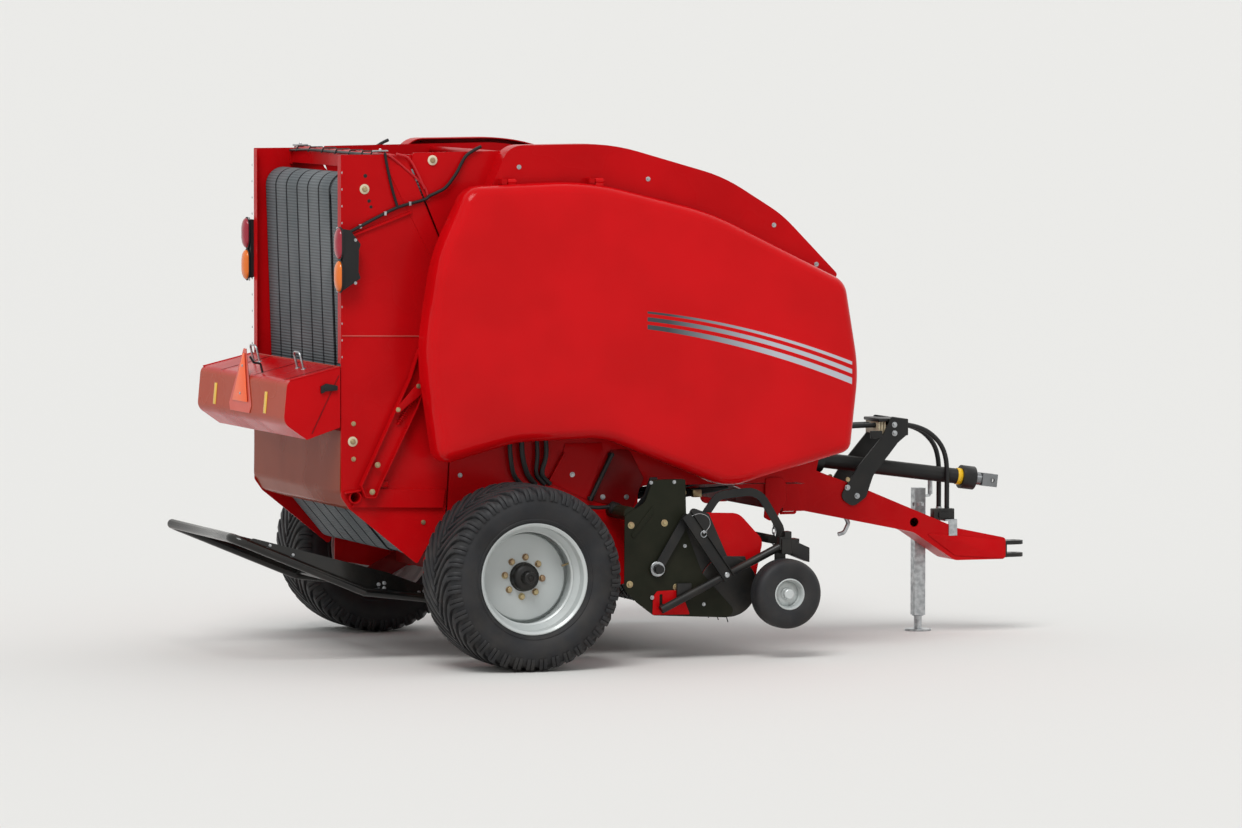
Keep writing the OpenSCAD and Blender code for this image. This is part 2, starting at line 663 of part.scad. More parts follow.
// Half the section of a lens: distance from its middle, depth
LENS = [[0, 0], [45, 0], [43, 12], [30, 22], [0, 27]];
module lenses(z) {
    pair() translate([lamp_x - 8, -lamp_y, z]) rotate([0, -90, 0]) {
        for (k = [-1, 1]) translate([k * lamp_reach, 0, 0]) rotate_extrude() polygon(LENS);
        translate([-lamp_reach, 0, 0]) rotate([90, 0, 90]) linear_extrude(height = 2 * lamp_reach)
            for (k = [0, 1]) mirror([k, 0])
                polygon(concat([[-1, 0]], [for (p = LENS) if (p.x > 0) p - [0.3, 0]], [[-1, 26.7]]));
    }
}

// Net wrap box: a fixed tray and a cover that tilts back about its bottom edge
net_x = -rear_x - 8;
net_back = net_x - net_depth;
NET = [[net_x, 1283, 0], [net_x, 1606, 0], [net_back + 20, 1534, 44], [net_back, 1310, 60],
    [net_back + 130, 1219, 10]];
net_hinge_x = net_x - 16;
net_hinge_z = 1278;
// Slope of the cover's top and its height at a place along X
net_slope = atan2(NET[1].y - NET[2].y, NET[1].x - NET[2].x);
function NET_TOP(x) = NET[1].y - (NET[1].x - x) * tan(net_slope);
module net_tray() {
    color("#7c0a10") {
        translate([-838, -wall_in, 1335]) cube([6, chamber_w, 255]);
        pair() xz(-wall_in, 6) polygon([[-840, 1350], [-840, 1580], [-950, 1540], [-950, 1350]]);
        bar(-930, 1440, 60, -wall_in + 6, wall_in - 6);
        pair() bar(net_hinge_x, net_hinge_z, 8, -wall_in + 1, -wall_in + 70);
        pair() xz(-wall_in + 1, 10) polygon([[-846, 1262], [-846, 1330], [net_hinge_x - 6, 1290],
            [net_hinge_x - 6, 1268]]);
    }
}

module net_cover() {
    color("#c8141a") difference() {
        union() {
            difference() {
                xz(-net_half_w, 2 * net_half_w) polygon(outline(NET));
                xz(-net_half_w + 5, 2 * net_half_w - 10) polygon(outline(inset(NET, 5)));
                translate([net_x - 6, -net_half_w + 5, 1200])
                    cube([40, 2 * net_half_w - 10, 500]);
                pair() translate([net_hinge_x - 22, -wall_in - 2, 1200]) cube([60, 90, 98]);
            }
            pair() xz(-wall_in + 16, 12) polygon(outline([[net_hinge_x + 13, 1266, 8],
                [net_hinge_x + 13, 1291, 8], [-935, 1291, 4], [-935, 1258, 2], [-893, 1267, 2]]));
        }
        pair() bar(net_hinge_x, net_hinge_z, 8 + fit, -wall_in - 2, -wall_in + 90);
    }
}

module cover_handles() {
    color("#c9ccd0") for (y = [-470, 330])
        translate([-955, y, NET_TOP(-955) + seat]) rotate([0, -net_slope, 0]) {
            for (d = [0, 90])
                translate([0, d, 0]) cylinder(r = 6, h = 84);
            translate([0, -12, 84]) rotate([-90, 0, 0]) cylinder(r = 7.5, h = 114);
        }
}

module slow_triangle() {
    color("#f2661c") translate([net_back - 1.5, 0, 1330]) rotate([0, 5.1, 0])
        rotate([90, 0, 90]) linear_extrude(3)
            polygon([[-178, 0], [178, 0], [205, 40], [25, 345], [-25, 345], [-205, 40]]);
}

// Pick-up: end plates, inner plates and the guard bands on their beam
module pickup_end_plates() {
    color("#23251f") pair() {
        xz(-pickup_y, plate_t) polygon(outline(END_PLATE));
        bar(pickup_x + 145, 500, 40, -pickup_y - 14, -pickup_y + 1);
        bar(pickup_x, pickup_z, 38, -pickup_y + plate_t - 1, -wall_y - 6);
        bar(pickup_x, pickup_z, 20, -wall_y - 7, -wall_y + 16);
    }
}

module pickup_inner_plates() {
    color("#c40e16") pair() difference() {
        union() {
            xz(-pickup_y + 20, 6) polygon(outline(INNER_PLATE));
            bar(reel_x, reel_z, 165, -pickup_y + 8, -pickup_y + 20.5);
        }
        bar(reel_x, reel_z, 22 + fit, -pickup_y - 10, 0);
        guard_beams(seat);
    }
}

// Beam behind the reel, between the end plates, grown by d
module guard_beams(d) {
    translate([930 - d, -pickup_y + plate_t, 560 - d])
        cube([110 + 2 * d, 2 * (pickup_y - plate_t), 90 + 2 * d]);
}

guard_pitch = 2 * (reel_w - 30) / band_count;
GUARD = [[1010, 460, 0], [1150, reel_z - band_r, 60], [reel_x + band_r, reel_z - band_r, band_r - 1],
    [reel_x + band_r, reel_z + band_r, band_r - 1], [945, reel_z + band_r, 0]];
module pickup_guards() {
    color("#26282a") {
        for (i = [0 : band_count - 1])
            xz((i - (band_count - 1) / 2) * guard_pitch - band_w / 2, band_w)
                polygon(strip(GUARD, 4, 7));
        guard_beams(0);
        translate([950, -reel_w + 20, 430]) cube([78, 2 * reel_w - 40, 131]);
    }
}

// Reel: shaft, bars and tines in the gaps between the bands
module tine_reel() {
    color("#3a3d40") {
        bar(reel_x, reel_z, 22, -pickup_y + 10, pickup_y - 10);
        for (b = [0 : bar_count - 1]) rotate_about(360 * b / bar_count) {
            bar(120, 0, 12, -reel_w + 20, reel_w - 20);
            for (i = [1 : 2 : band_count - 1])
                translate([112, (i - band_count / 2) * guard_pitch, 0])
                    rotate([0, 90, 0]) cylinder(r = 3, h = tine_tip_r - 112, $fn = 6);
        }
        for (y = [-reel_w + 30, -6, reel_w - 42])
            translate([reel_x, y, reel_z]) rotate([-90, 0, 0]) cylinder(r = 138, h = 12);
    }
}

module rotate_about(a) {
    translate([reel_x, 0, reel_z]) rotate([0, a, 0]) children();
}

// Windguard: curved arms, a cross bar and its rods
ARM = [[1110, 700, 0], [1230, 866, 70], [1440, 885, 90], [1560, 690, 40], [1548, 610, 0]];
module windguard() {
    color("#17181a") {
        pair() xz(-pickup_y + 40, 10) polygon(strip(ARM, 44));
        bar(1535, 640, 24, -pickup_y + 41, pickup_y - 41);
        bar(1132, 716, 16, -pickup_y + 26, pickup_y - 26);
        for (i = [0 : 19])
            translate([1535, -930 + i * 98, 640]) rotate([0, -72, 0])
                cylinder(r = 6, h = 380, $fn = 8);
    }
}

// Arms that carry the gauge wheels, with the drop bar and the pin
module gauge_arms() {
    color("#17181a") pair() {
        rod([856, -pickup_y - 50, 280], [1556, -pickup_y - 50, 614], 22);
        bar(pickup_x + 145, 500, 24, -pickup_y - 62, -pickup_y - 14);
        flat_bar([pickup_x + 145, 500], [1010, 770], 52, -pickup_y - 26, 12);
        flat_bar([1010, 770], [1225, 463], 46, -pickup_y - 73, 12);
        bar(1010, 770, 18, -pickup_y - 75, -pickup_y - 20);
        bar(1225, 463, 14, -pickup_y - 76, -pickup_y - 40);
        bar(876, 291, 13, -pickup_y - 50, -pickup_y - seat);
        translate([1540, -pickup_y - 90, 570]) cube([100, 80, 80]);
        translate([gauge_x - 30, -gauge_y + gauge_w / 2 + 8, gauge_z - 30]) cube([60, 14, 260]);
        bar(gauge_x, gauge_z, 12, -gauge_y - 48, -gauge_y + gauge_w / 2 + 12);
    }
}

module lift_chain() {
    color("#c9ccd0") translate([1745, -520 - 8 - seat, 560]) cylinder(r = 8, h = 205);
}

module gauge_tyre() {
    color("#1d1e20") tyre(gauge_r, gauge_w, 78, 0);
}

module gauge_rim() {
    color("#c9ccd0") difference() {
        union() {
            rotate([90, 0, 0]) rotate_extrude()
                polygon([[84, -65], [84, -60.8], [77.7, -60.5], [77.7, 60.5], [84, 60.8], [84, 65],
                    [72, 65], [70, 10], [0, 10], [0, 2], [70, 2], [72, -65]]);
            bar(0, 0, 24, -54, 60);
        }
        bar(0, 0, 12 + fit, -50, 80);
    }
}

// Bale ramp: a bent tube, deep side plates and a cross tube on its hinge
ramp_hinge_x = -250;
ramp_hinge_z = 330;
ramp_y = ramp_half_w - ramp_tube_r;
RAMP_LINE = [[ramp_rear_x, 684], [-655, 380], [ramp_hinge_x, ramp_hinge_z]];
ramp_bend = 70;
module bale_ramp() {
    u = unit(RAMP_LINE[1] - RAMP_LINE[0]);
    color("#111213") {
        bar(RAMP_LINE[0].x, RAMP_LINE[0].y, ramp_tube_r - 0.3, -ramp_y + ramp_bend - 3,
            ramp_y - ramp_bend + 3);
        pair() {
            translate([RAMP_LINE[0].x, -ramp_y, RAMP_LINE[0].y]) rotate([0, -atan2(u.y, u.x), 0])
                translate([ramp_bend, ramp_bend, 0]) rotate([0, 0, 180])
                    rotate_extrude(angle = 90) translate([ramp_bend, 0]) circle(ramp_tube_r);
            rod([RAMP_LINE[0].x + (ramp_bend - 3) * u.x, -ramp_y, RAMP_LINE[0].y + (ramp_bend - 3) * u.y],
                [RAMP_LINE[1].x, -ramp_y, RAMP_LINE[1].y], ramp_tube_r - 0.3);
            rod([RAMP_LINE[1].x, -ramp_y, RAMP_LINE[1].y],
                [RAMP_LINE[2].x, -ramp_y, RAMP_LINE[2].y], ramp_tube_r - 0.3);
            translate([RAMP_LINE[1].x, -ramp_y, RAMP_LINE[1].y]) sphere(r = ramp_tube_r + 0.5);
            xz(-ramp_y + 3, 6) polygon(outline([[-1300, 646, 0], [-655, 380, 0], [-262, 332, 0],
                [-270, 385, 20], [-540, 484, 60], [-1310, 690, 20]]));
        }
        bar(ramp_hinge_x, ramp_hinge_z, 30, -ramp_y - 42, ramp_y + 42);
        bar(ramp_hinge_x, ramp_hinge_z, 16, -ramp_y - 66, ramp_y + 66);
        bar(-640, 402, 18, -ramp_y + 8, ramp_y - 8);
    }
}

// Cylinders that open the tailgate
module along_cylinder() {
    translate([barrel_x, -cylinder_y, barrel_z]) rotate([0, -cylinder_angle, 0]) children();
}

module cylinder_barrel() {
    color("#17181a") difference() {
        along_cylinder() {
            translate([30, 0, 0]) rotate([0, 90, 0]) cylinder(r = 38, h = 960);
            rotate([90, 0, 0]) translate([0, 0, -22]) cylinder(r = 38, h = 44);
        }
        bar(barrel_x, barrel_z, cylinder_pin_r + fit, -cylinder_y - 60, -cylinder_y + 60);
        along_cylinder() translate([80, 0, 0]) rotate([0, 90, 0]) cylinder(r = 20 + fit, h = 2000);
    }
}

// The pin goes with the rod's eye and ends just off its boss on the tailgate
module cylinder_rod() {
    color("#c9ccd0") {
        along_cylinder() {
            translate([100, 0, 0]) rotate([0, 90, 0]) cylinder(r = 20, h = cylinder_len - 130);
            translate([cylinder_len, 0, 0]) rotate([90, 0, 0]) translate([0, 0, -22])
                cylinder(r = 36, h = 44);
        }
        bar(rod_x, rod_z, cylinder_pin_r, -cylinder_y - 40, -wall_y - 14 - seat);
    }
}

module placed() {
    translate([frame_shift, 0, 0]) children();
}

placed() {
    front_frame();
    color("#c40e16") side(true) fairing();  // fairing_left
    color("#c40e16") side(false) fairing();  // fairing_right
    axle_beam();
    front_beams();
    color("#3a3d40")  // front_rollers
        rollers(concat(FRONT_ROLLERS, FLOOR_ROLLERS), wall_in);
    color("#3f4347") belts(FRONT_ROLLERS);  // front_belts
    feed_rotor();
    gearbox();
    drawbar();
    hitch_clevis();
    shaft_guard();
    shaft_yoke();
    hose_holder();
    color("#151617") tube(HOSE_UPPER, hose_r);  // hose_upper
    color("#151617") tube(HOSE_LOWER, hose_r);  // hose_lower
    hose_couplers();
    jack_socket();
    jack_leg();
    tailgate_walls();
    tailgate_panels();
    tailgate_beams();
    color("#3a3d40")  // tailgate_rollers
        rollers(GATE_ROLLERS, wall_in);
    color("#3f4347") belts(GATE_ROLLERS);  // tailgate_belts
    latch_arms();
    latch_springs();
    lamp_brackets();
    color("#a8122c") lenses(LAMPS[0]);  // red_lamps
    color("#ee7a14") lenses(LAMPS[1]);  // amber_lamps
    net_tray();
    net_cover();
    cover_handles();
    slow_triangle();
    side(true) shield_side();  // shield_left
    side(false) shield_side();  // shield_right
    pickup_end_plates();
    pickup_inner_plates();
    pickup_guards();
    windguard();
    gauge_arms();
    lift_chain();
    tine_reel();
    side(true) translate([gauge_x, -gauge_y, gauge_z]) gauge_tyre();  // gauge_tyre_left
    translate([gauge_x, -gauge_y, gauge_z]) gauge_tyre();  // gauge_tyre_right
    side(true) translate([gauge_x, -gauge_y, gauge_z]) gauge_rim();  // gauge_rim_left
    translate([gauge_x, -gauge_y, gauge_z]) gauge_rim();  // gauge_rim_right
    bale_ramp();
    side(true) translate([0, -track_w / 2, tyre_r]) main_tyre();  // main_tyre_left
    translate([0, -track_w / 2, tyre_r]) main_tyre();  // main_tyre_right
    side(true) translate([0, -track_w / 2, tyre_r]) main_hub();  // main_rim_left
    translate([0, -track_w / 2, tyre_r]) main_hub();  // main_rim_right
    side(true) cylinder_barrel();  // cylinder_barrel_left
    side(false) cylinder_barrel();  // cylinder_barrel_right
    side(true) cylinder_rod();  // cylinder_rod_left
    side(false) cylinder_rod();  // cylinder_rod_right
}
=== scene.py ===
# Round baler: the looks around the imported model.
# Sizes are in millimetres from the axle: X forward, Y to the left, Z up.
import bpy
import bmesh
import math
from mathutils import Matrix, Quaternion, Vector


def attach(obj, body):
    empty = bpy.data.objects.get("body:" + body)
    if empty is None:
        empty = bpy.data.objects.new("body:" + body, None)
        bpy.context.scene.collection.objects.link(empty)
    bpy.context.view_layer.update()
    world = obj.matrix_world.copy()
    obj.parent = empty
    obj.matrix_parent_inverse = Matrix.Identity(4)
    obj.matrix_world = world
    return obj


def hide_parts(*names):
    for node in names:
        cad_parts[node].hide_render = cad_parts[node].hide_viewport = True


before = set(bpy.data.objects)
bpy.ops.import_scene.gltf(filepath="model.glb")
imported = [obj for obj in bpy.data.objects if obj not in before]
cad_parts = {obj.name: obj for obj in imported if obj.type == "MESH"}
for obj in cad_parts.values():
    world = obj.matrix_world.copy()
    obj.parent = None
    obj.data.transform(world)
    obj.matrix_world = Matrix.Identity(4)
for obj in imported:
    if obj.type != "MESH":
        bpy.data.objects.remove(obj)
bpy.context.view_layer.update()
# Metres from the axle forward to the frame's origin
FORWARD = 1.016


# Placing and shaping

def mm(p):
    return Vector((p[0] / 1000 - FORWARD, p[1] / 1000, p[2] / 1000))


def clear():
    if bpy.context.object and bpy.context.object.mode != "OBJECT":
        bpy.ops.object.mode_set(mode="OBJECT")
    bpy.ops.object.select_all(action="DESELECT")


def eased(points, radius=0, closed=False, steps=5):
    """Points with round corners. A point may carry its own radius as a fourth number."""
    out, n = [], len(points)
    for i, p in enumerate(points):
        r = p[3] if len(p) > 3 else radius
        if r <= 0 or (not closed and i in (0, n - 1)):
            out.append(Vector(p[:3]))
            continue
        here = Vector(p[:3])
        back, on = Vector(points[i - 1][:3]) - here, Vector(points[(i + 1) % n][:3]) - here
        half = max(0.05, back.angle(on) / 2)
        reach = min(r / math.tan(half), 0.49 * back.length, 0.49 * on.length)
        a, b = here + back.normalized() * reach, here + on.normalized() * reach
        for k in range(steps + 1):
            t = k / steps
            out.append(a * (1 - t) ** 2 + here * (2 * t * (1 - t)) + b * t ** 2)
    return out


def side_outline(table, y, steps=5):
    """Outline in a side view from rows of x, z, corner radius."""
    return eased([(r[0], y, r[1], r[2]) for r in table], closed=True, steps=steps)


def flowing(points, per=5):
    """A smooth line through points."""
    ends = [Vector(p) for p in points]
    ends = [ends[0] * 2 - ends[1]] + ends + [ends[-1] * 2 - ends[-2]]
    out = []
    for a, b, c, d in zip(ends, ends[1:], ends[2:], ends[3:]):
        for k in range(per):
            t = k / per
            out.append(0.5 * (2 * b + (c - a) * t + (2 * a - 5 * b + 4 * c - d) * t ** 2
                              + (3 * b - a - 3 * c + d) * t ** 3))
    return out + [Vector(points[-1])]


def drawn(points, closed=True):
    """A ring or a chain of edges through points, left open for shaping."""
    clear()
    n = len(points)
    bpy.ops.mesh.primitive_circle_add(vertices=n, radius=0.1, location=(0, 0, 0))
    o = bpy.context.object
    for v, p in zip(o.data.vertices, points):
        v.co = mm(p)
    bpy.ops.object.mode_set(mode="EDIT")
    if not closed:
        bpy.ops.mesh.select_mode(type="EDGE")
        bpy.ops.mesh.select_all(action="DESELECT")
        shape = bmesh.from_edit_mesh(o.data)
        for e in shape.edges:
            if {v.index for v in e.verts} == {0, n - 1}:
                e.select_set(True)
        bmesh.update_edit_mesh(o.data)
        bpy.ops.mesh.delete(type="EDGE")
        bpy.ops.mesh.select_mode(type="VERT")
    bpy.ops.mesh.select_all(action="SELECT")
    return o


def rounded(o, width, angle=30, segments=2):
    """Breaks the sharp edges of a piece."""
    bpy.ops.object.mode_set(mode="OBJECT")
    if width:
        edge = o.modifiers.new("edge", "BEVEL")
        edge.width = width / 1000
        edge.segments = segments
        edge.limit_method = "ANGLE"
        edge.angle_limit = math.radians(angle)
        bpy.ops.object.modifier_apply(modifier="edge")
    return o


def slab(points, thick, edge=1.5):
    """A plate cut to an outline, thick along a vector."""
    o = drawn(points)
    bpy.ops.mesh.edge_face_add()
    bpy.ops.mesh.extrude_region_move(TRANSFORM_OT_translate={"value": Vector(thick) / 1000})
    bpy.ops.mesh.select_all(action="SELECT")
    bpy.ops.mesh.normals_make_consistent(inside=False)
    return rounded(o, edge)


def plate(table, y, thick, edge=1.5):
    """A plate in a side view, cut to rows of x, z, corner radius."""
    return slab(side_outline(table, y), thick, edge)


def block(low, high, edge=2.0):
    """A rectangular piece between two corners with broken edges."""
    clear()
    bpy.ops.mesh.primitive_cube_add(size=1)
    o = bpy.context.object
    a, b = mm(low), mm(high)
    o.location = (a + b) / 2
    o.scale = b - a
    bpy.ops.object.transform_apply()
    bpy.ops.object.mode_set(mode="EDIT")
    return rounded(o, edge)


def turned(at, axis, profile, steps=36):
    """A piece spun about an axis from rows of radius and distance along it."""
    a = Vector(axis).normalized()
    out = a.orthogonal().normalized()
    if abs(a.y) > 0.9:
        out = Vector((0, 0, 1))
    at = Vector(at)
    ring = profile[0] == profile[-1]
    rows = profile[:-1] if ring else profile
    o = drawn([at + out * r + a * d for r, d in rows], ring)
    bpy.ops.mesh.spin(steps=steps, angle=2 * math.pi, center=mm(at), axis=a)
    bpy.ops.mesh.select_all(action="SELECT")
    bpy.ops.mesh.remove_doubles(threshold=0.00003)
    bpy.ops.mesh.normals_make_consistent(inside=False)
    bpy.ops.object.mode_set(mode="OBJECT")
    return o


def stick(a, b, r, edge=1.0, steps=20):
    """A round bar between two points with broken ends."""
    a, b = Vector(a), Vector(b)
    n = (b - a).length
    return turned(a, b - a, [(0, 0), (r - edge, 0), (r, edge), (r, n - edge), (r - edge, n),
                             (0, n)], steps)


def pipe(points, r, closed=False, smooth=3):
    """A bent bar or tube along a line."""
    o = drawn(points, closed)
    bpy.ops.object.mode_set(mode="OBJECT")
    bpy.ops.object.convert(target="CURVE")
    line = bpy.context.object.data
    line.bevel_depth = r / 1000
    line.bevel_resolution = smooth
    line.use_fill_caps = True
    bpy.ops.object.convert(target="MESH")
    return bpy.context.object


def lofted(rings, closed=True):
    """A skin pulled through rings of equal length, its ends filled."""
    o = drawn(rings[0])
    if closed:
        bpy.ops.mesh.edge_face_add()
        bpy.ops.mesh.select_all(action="SELECT")
    last = {tuple(round(c, 5) for c in mm(p)): i for i, p in enumerate(rings[0])}
    for ring in rings[1:]:
        bpy.ops.mesh.extrude_region_move(TRANSFORM_OT_translate={"value": (0, 0, 0)})
        shape = bmesh.from_edit_mesh(o.data)
        for v in [v for v in shape.verts if v.select]:
            v.co = mm(ring[last[tuple(round(c, 5) for c in v.co)]])
        bmesh.update_edit_mesh(o.data)
        last = {tuple(round(c, 5) for c in mm(p)): i for i, p in enumerate(ring)}
    bpy.ops.mesh.select_all(action="SELECT")
    bpy.ops.mesh.normals_make_consistent(inside=False)
    bpy.ops.object.mode_set(mode="OBJECT")
    return o


def copied(o, move):
    """A copy with its own mesh, moved in its mesh."""
    c = o.copy()
    c.data = o.data.copy()
    bpy.context.collection.objects.link(c)
    c.data.transform(move)
    if move.determinant() < 0:
        c.data.flip_normals()
    return c


MIRROR = Matrix.Scale(-1, 4, (0, 1, 0))


def placed_at(o, places):
    """One piece repeated at places in millimetres, the first of which it holds."""
    first = Vector(places[0])
    return [o] + [copied(o, Matrix.Translation((Vector(p) - first) / 1000)) for p in places[1:]]


def bolts(places, axis=(0, -1, 0), across=24, high=9, washer=0):
    """Hexagon heads on washers, out along an axis from each place."""
    r, w = across / 2, washer or across * 0.72
    head = turned(places[0], axis, [(0, high + 2), (r * 0.82, high + 2), (r, high), (r, 2),
                                    (0, 2)], 6)
    ring = turned(places[0], axis, [(0, 2.4), (w - 0.6, 2.4), (w, 1.8), (w, 0), (0, 0)], 18)
    return placed_at(joined([head, ring]), places)


def joined(parts):
    clear()
    for o in parts:
        o.select_set(True)
    bpy.context.view_layer.objects.active = parts[0]
    if len(parts) > 1:
        bpy.ops.object.join()
    return bpy.context.object


def cut(o, tool):
    """Takes one shape out of another."""
    clear()
    bpy.context.view_layer.objects.active = o
    o.select_set(True)
    away = o.modifiers.new("cut", "BOOLEAN")
    away.operation = "DIFFERENCE"
    away.solver = "EXACT"
    away.object = tool
    bpy.ops.object.modifier_apply(modifier="cut")
    bpy.data.objects.remove(tool)
    return o


def done(parts, name, body, finish, replaces=(), smooth=35, both=False, slot=True):
    """Joins shapes into one piece that moves with its body."""
    parts = list(parts)
    if both:
        parts += [copied(o, MIRROR) for o in parts]
    o = joined(parts)
    o.name = o.data.name = name
    bpy.ops.object.transform_apply(location=True, rotation=True, scale=True)
    o.data.materials.clear()
    o.data.materials.append(finish)
    bpy.ops.object.shade_smooth_by_angle(angle=math.radians(smooth))
    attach(o, body)
    if replaces:
        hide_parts(*replaces)
    return o


def twins(parts, name, body, finish, replaces=(), **more):
    """The same piece on both sides of the machine."""
    return done(parts, name, body, finish, replaces, both=True, **more)


def fixings(heads, name, body, finish, both=True):
    """Bolts or screws with flat faces, on both sides of the machine."""
    return done(heads, name, body, finish, smooth=20, both=both)


# Camera of the photograph: focal length on a sensor 36 mm wide, place in metres from the axle,
# then heading, dip and roll in degrees

FOCAL_LENGTH, EYE = 225.91, (-13.628, -40.581, 3.815)
HEADING, DIP, ROLL = 19.87, 3.37, 0.06
eye = bpy.data.cameras.new("camera")
eye.sensor_width = 36
eye.sensor_fit = "HORIZONTAL"
eye.lens = FOCAL_LENGTH
eye.clip_end = 4000
camera = bpy.data.objects.new("camera", eye)
bpy.context.collection.objects.link(camera)
camera.location = (EYE[0] - FORWARD, EYE[1], EYE[2])
turn, dip = math.radians(HEADING), math.radians(DIP)
look = Vector((math.sin(turn) * math.cos(dip), math.cos(turn) * math.cos(dip), -math.sin(dip)))
camera.rotation_mode = "QUATERNION"
camera.rotation_quaternion = (look.to_track_quat("-Z", "Y") @ Quaternion((0, 0, 1),
    math.radians(ROLL)))
bpy.context.scene.camera = camera
bpy.context.scene.view_settings.view_transform = "Standard"


# Colours and nodes

def linear(code):
    out = []
    for i in (1, 3, 5):
        c = int(code[i:i + 2], 16) / 255
        out.append(c / 12.92 if c <= 0.04045 else ((c + 0.055) / 1.055) ** 2.4)
    return (*out, 1.0)


def add(tree, kind, sockets=None, **settings):
    """Adds a node with its settings, values and links."""
    n = tree.nodes.new("ShaderNode" + kind)
    for key, value in settings.items():
        setattr(n, key, value)
    for key, value in (sockets or {}).items():
        if isinstance(value, bpy.types.NodeSocket):
            tree.links.new(value, n.inputs[key])
        else:
            n.inputs[key].default_value = value
    return n


def worked(tree, operation, *values, clamp=False):
    """One step of arithmetic on sockets or numbers."""
    return add(tree, "Math", dict(enumerate(values)), operation=operation,
               use_clamp=clamp).outputs[0]


def spread(tree, value, low, high, out_low=0.0, out_high=1.0, **settings):
    """Carries one range of a value onto another."""
    return add(tree, "MapRange", {"Value": value, "From Min": low, "From Max": high,
                                  "To Min": out_low, "To Max": out_high}, **settings).outputs[0]


def tinted(tree, amount, first, second):
    """Mixes two colours, each a hex value or a socket."""
    a, b = (linear(c) if isinstance(c, str) else c for c in (first, second))
    return add(tree, "Mix", {0: amount, 6: a, 7: b}, data_type="RGBA").outputs[2]


def along_axis(tree, vector, axis):
    return add(tree, "SeparateXYZ", {0: vector}).outputs["XYZ".index(axis)]


def cloudy(tree, here, scale, detail=2.0):
    return add(tree, "TexNoise", {"Vector": here, "Scale": scale, "Detail": detail}).outputs[0]


SMOOTH = {"interpolation_type": "SMOOTHSTEP"}


def surface(name, main, deep, rough=(0.3, 0.42), grain=2.0, bump=0.1, metal=0.0, coat=0.0,
            dust=0.0, patch=2.5, shine=0.5, pattern=None, relief=None):
    """A finish with slow changes of colour, a fine grain and dust low down and on ledges.
    grain is the grain's size in millimetres, patch the number of patches in a metre and shine
    the strength of its bare reflection."""
    m = bpy.data.materials.new(name)
    m.use_nodes = True
    t = m.node_tree
    t.nodes.clear()
    place = add(t, "TexCoord")
    here = place.outputs["Object"]
    slow = cloudy(t, here, patch)
    fine = cloudy(t, here, 1000 / grain / 2)
    shade = tinted(t, spread(t, slow, 0.3, 0.7, **SMOOTH), main, deep)
    if pattern:
        shade = pattern(t, here, shade)
    if dust:
        low = spread(t, along_axis(t, here, "Z"), 0.0, 1.3, 1.0, 0.12)
        ledge = spread(t, along_axis(t, place.outputs["Normal"], "Z"), 0.5, 1.0, 1.0, 1.7)
        amount = spread(t, cloudy(t, here, 9.0, 4.0), 0.25, 0.8, 0.0, dust, **SMOOTH)
        veil = worked(t, "MULTIPLY", worked(t, "MULTIPLY", low, ledge), amount, clamp=True)
        shade = tinted(t, veil, shade, "#a1917a")
    gloss = spread(t, slow, 0.3, 0.7, *rough, **SMOOTH)
    skin = add(t, "Bump", {"Height": fine, "Strength": bump, "Distance": 0.0008})
    if relief:
        relief(t, skin)
    shader = add(t, "BsdfPrincipled", {
        "Base Color": shade, "Roughness": gloss, "Normal": skin.outputs[0], "Metallic": metal,
        "Coat Weight": coat, "Coat Roughness": 0.08, "Specular IOR Level": shine})
    add(t, "OutputMaterial", {0: shader.outputs[0]})
    return m


# Start and end of the stripes along X in metres, then each one's height at the start, its
# fall along its length, the curve of that, its half width and how much that grows
STRIPE_X = [0.785 - FORWARD, 1.974 - FORWARD]
STRIPES = [[1.8117, -0.160, -0.153, 0.0125, 0.005], [1.8535, -0.141, -0.162, 0.0115, 0.001],
    [1.890, -0.136, -0.158, 0.006, 0.003]]


def side_stripes(t, here, shade):
    """Three slanting stripes on a shield, grey behind and silver in front."""
    along = spread(t, along_axis(t, here, "X"), *STRIPE_X, clamp=False)
    inside = worked(t, "MULTIPLY", worked(t, "GREATER_THAN", along, 0.0),
                    worked(t, "LESS_THAN", along, 1.0))
    flat = along_axis(t, add(t, "TexCoord").outputs["Normal"], "Y")
    facing = worked(t, "GREATER_THAN", worked(t, "ABSOLUTE", flat), 0.9)
    square = worked(t, "MULTIPLY", along, along)
    total = 0.0
    for start, drop, curve, half, grow in STRIPES:
        line = worked(t, "MULTIPLY_ADD", square, curve,
                      worked(t, "MULTIPLY_ADD", along, drop, start))
        off = worked(t, "ABSOLUTE", worked(t, "SUBTRACT", along_axis(t, here, "Z"), line))
        on = worked(t, "LESS_THAN", off, worked(t, "MULTIPLY_ADD", along, grow, half))
        total = worked(t, "MAXIMUM", total, on)
    mask = worked(t, "MULTIPLY", worked(t, "MULTIPLY", total, inside), facing)
    film = tinted(t, spread(t, along, 0.1, 0.62), "#43484c", "#b9bcc3")
    return tinted(t, mask, shade, film)


# Belts side by side: how many, their pitch, width and thickness
BELTS, BELT_PITCH, BELT_WIDTH, BELT_THICK = 8, 193.75, 178, 7
RIB_PITCH = 16


def rib_wave(t):
    """Ribs across a belt along its own length. The real ones are 8 mm apart, and they are drawn
    16 mm apart so that they show."""
    u = along_axis(t, add(t, "UVMap").outputs[0], "X")
    return worked(t, "SINE", worked(t, "MULTIPLY", u, 2 * math.pi / RIB_PITCH * 1000))


def belt_ribs(t, skin):
    """Moulded ribs that stand off the belt."""
    skin.inputs["Distance"].default_value = 0.002
    skin.inputs["Strength"].default_value = 0.6
    t.links.new(rib_wave(t), skin.inputs["Height"])


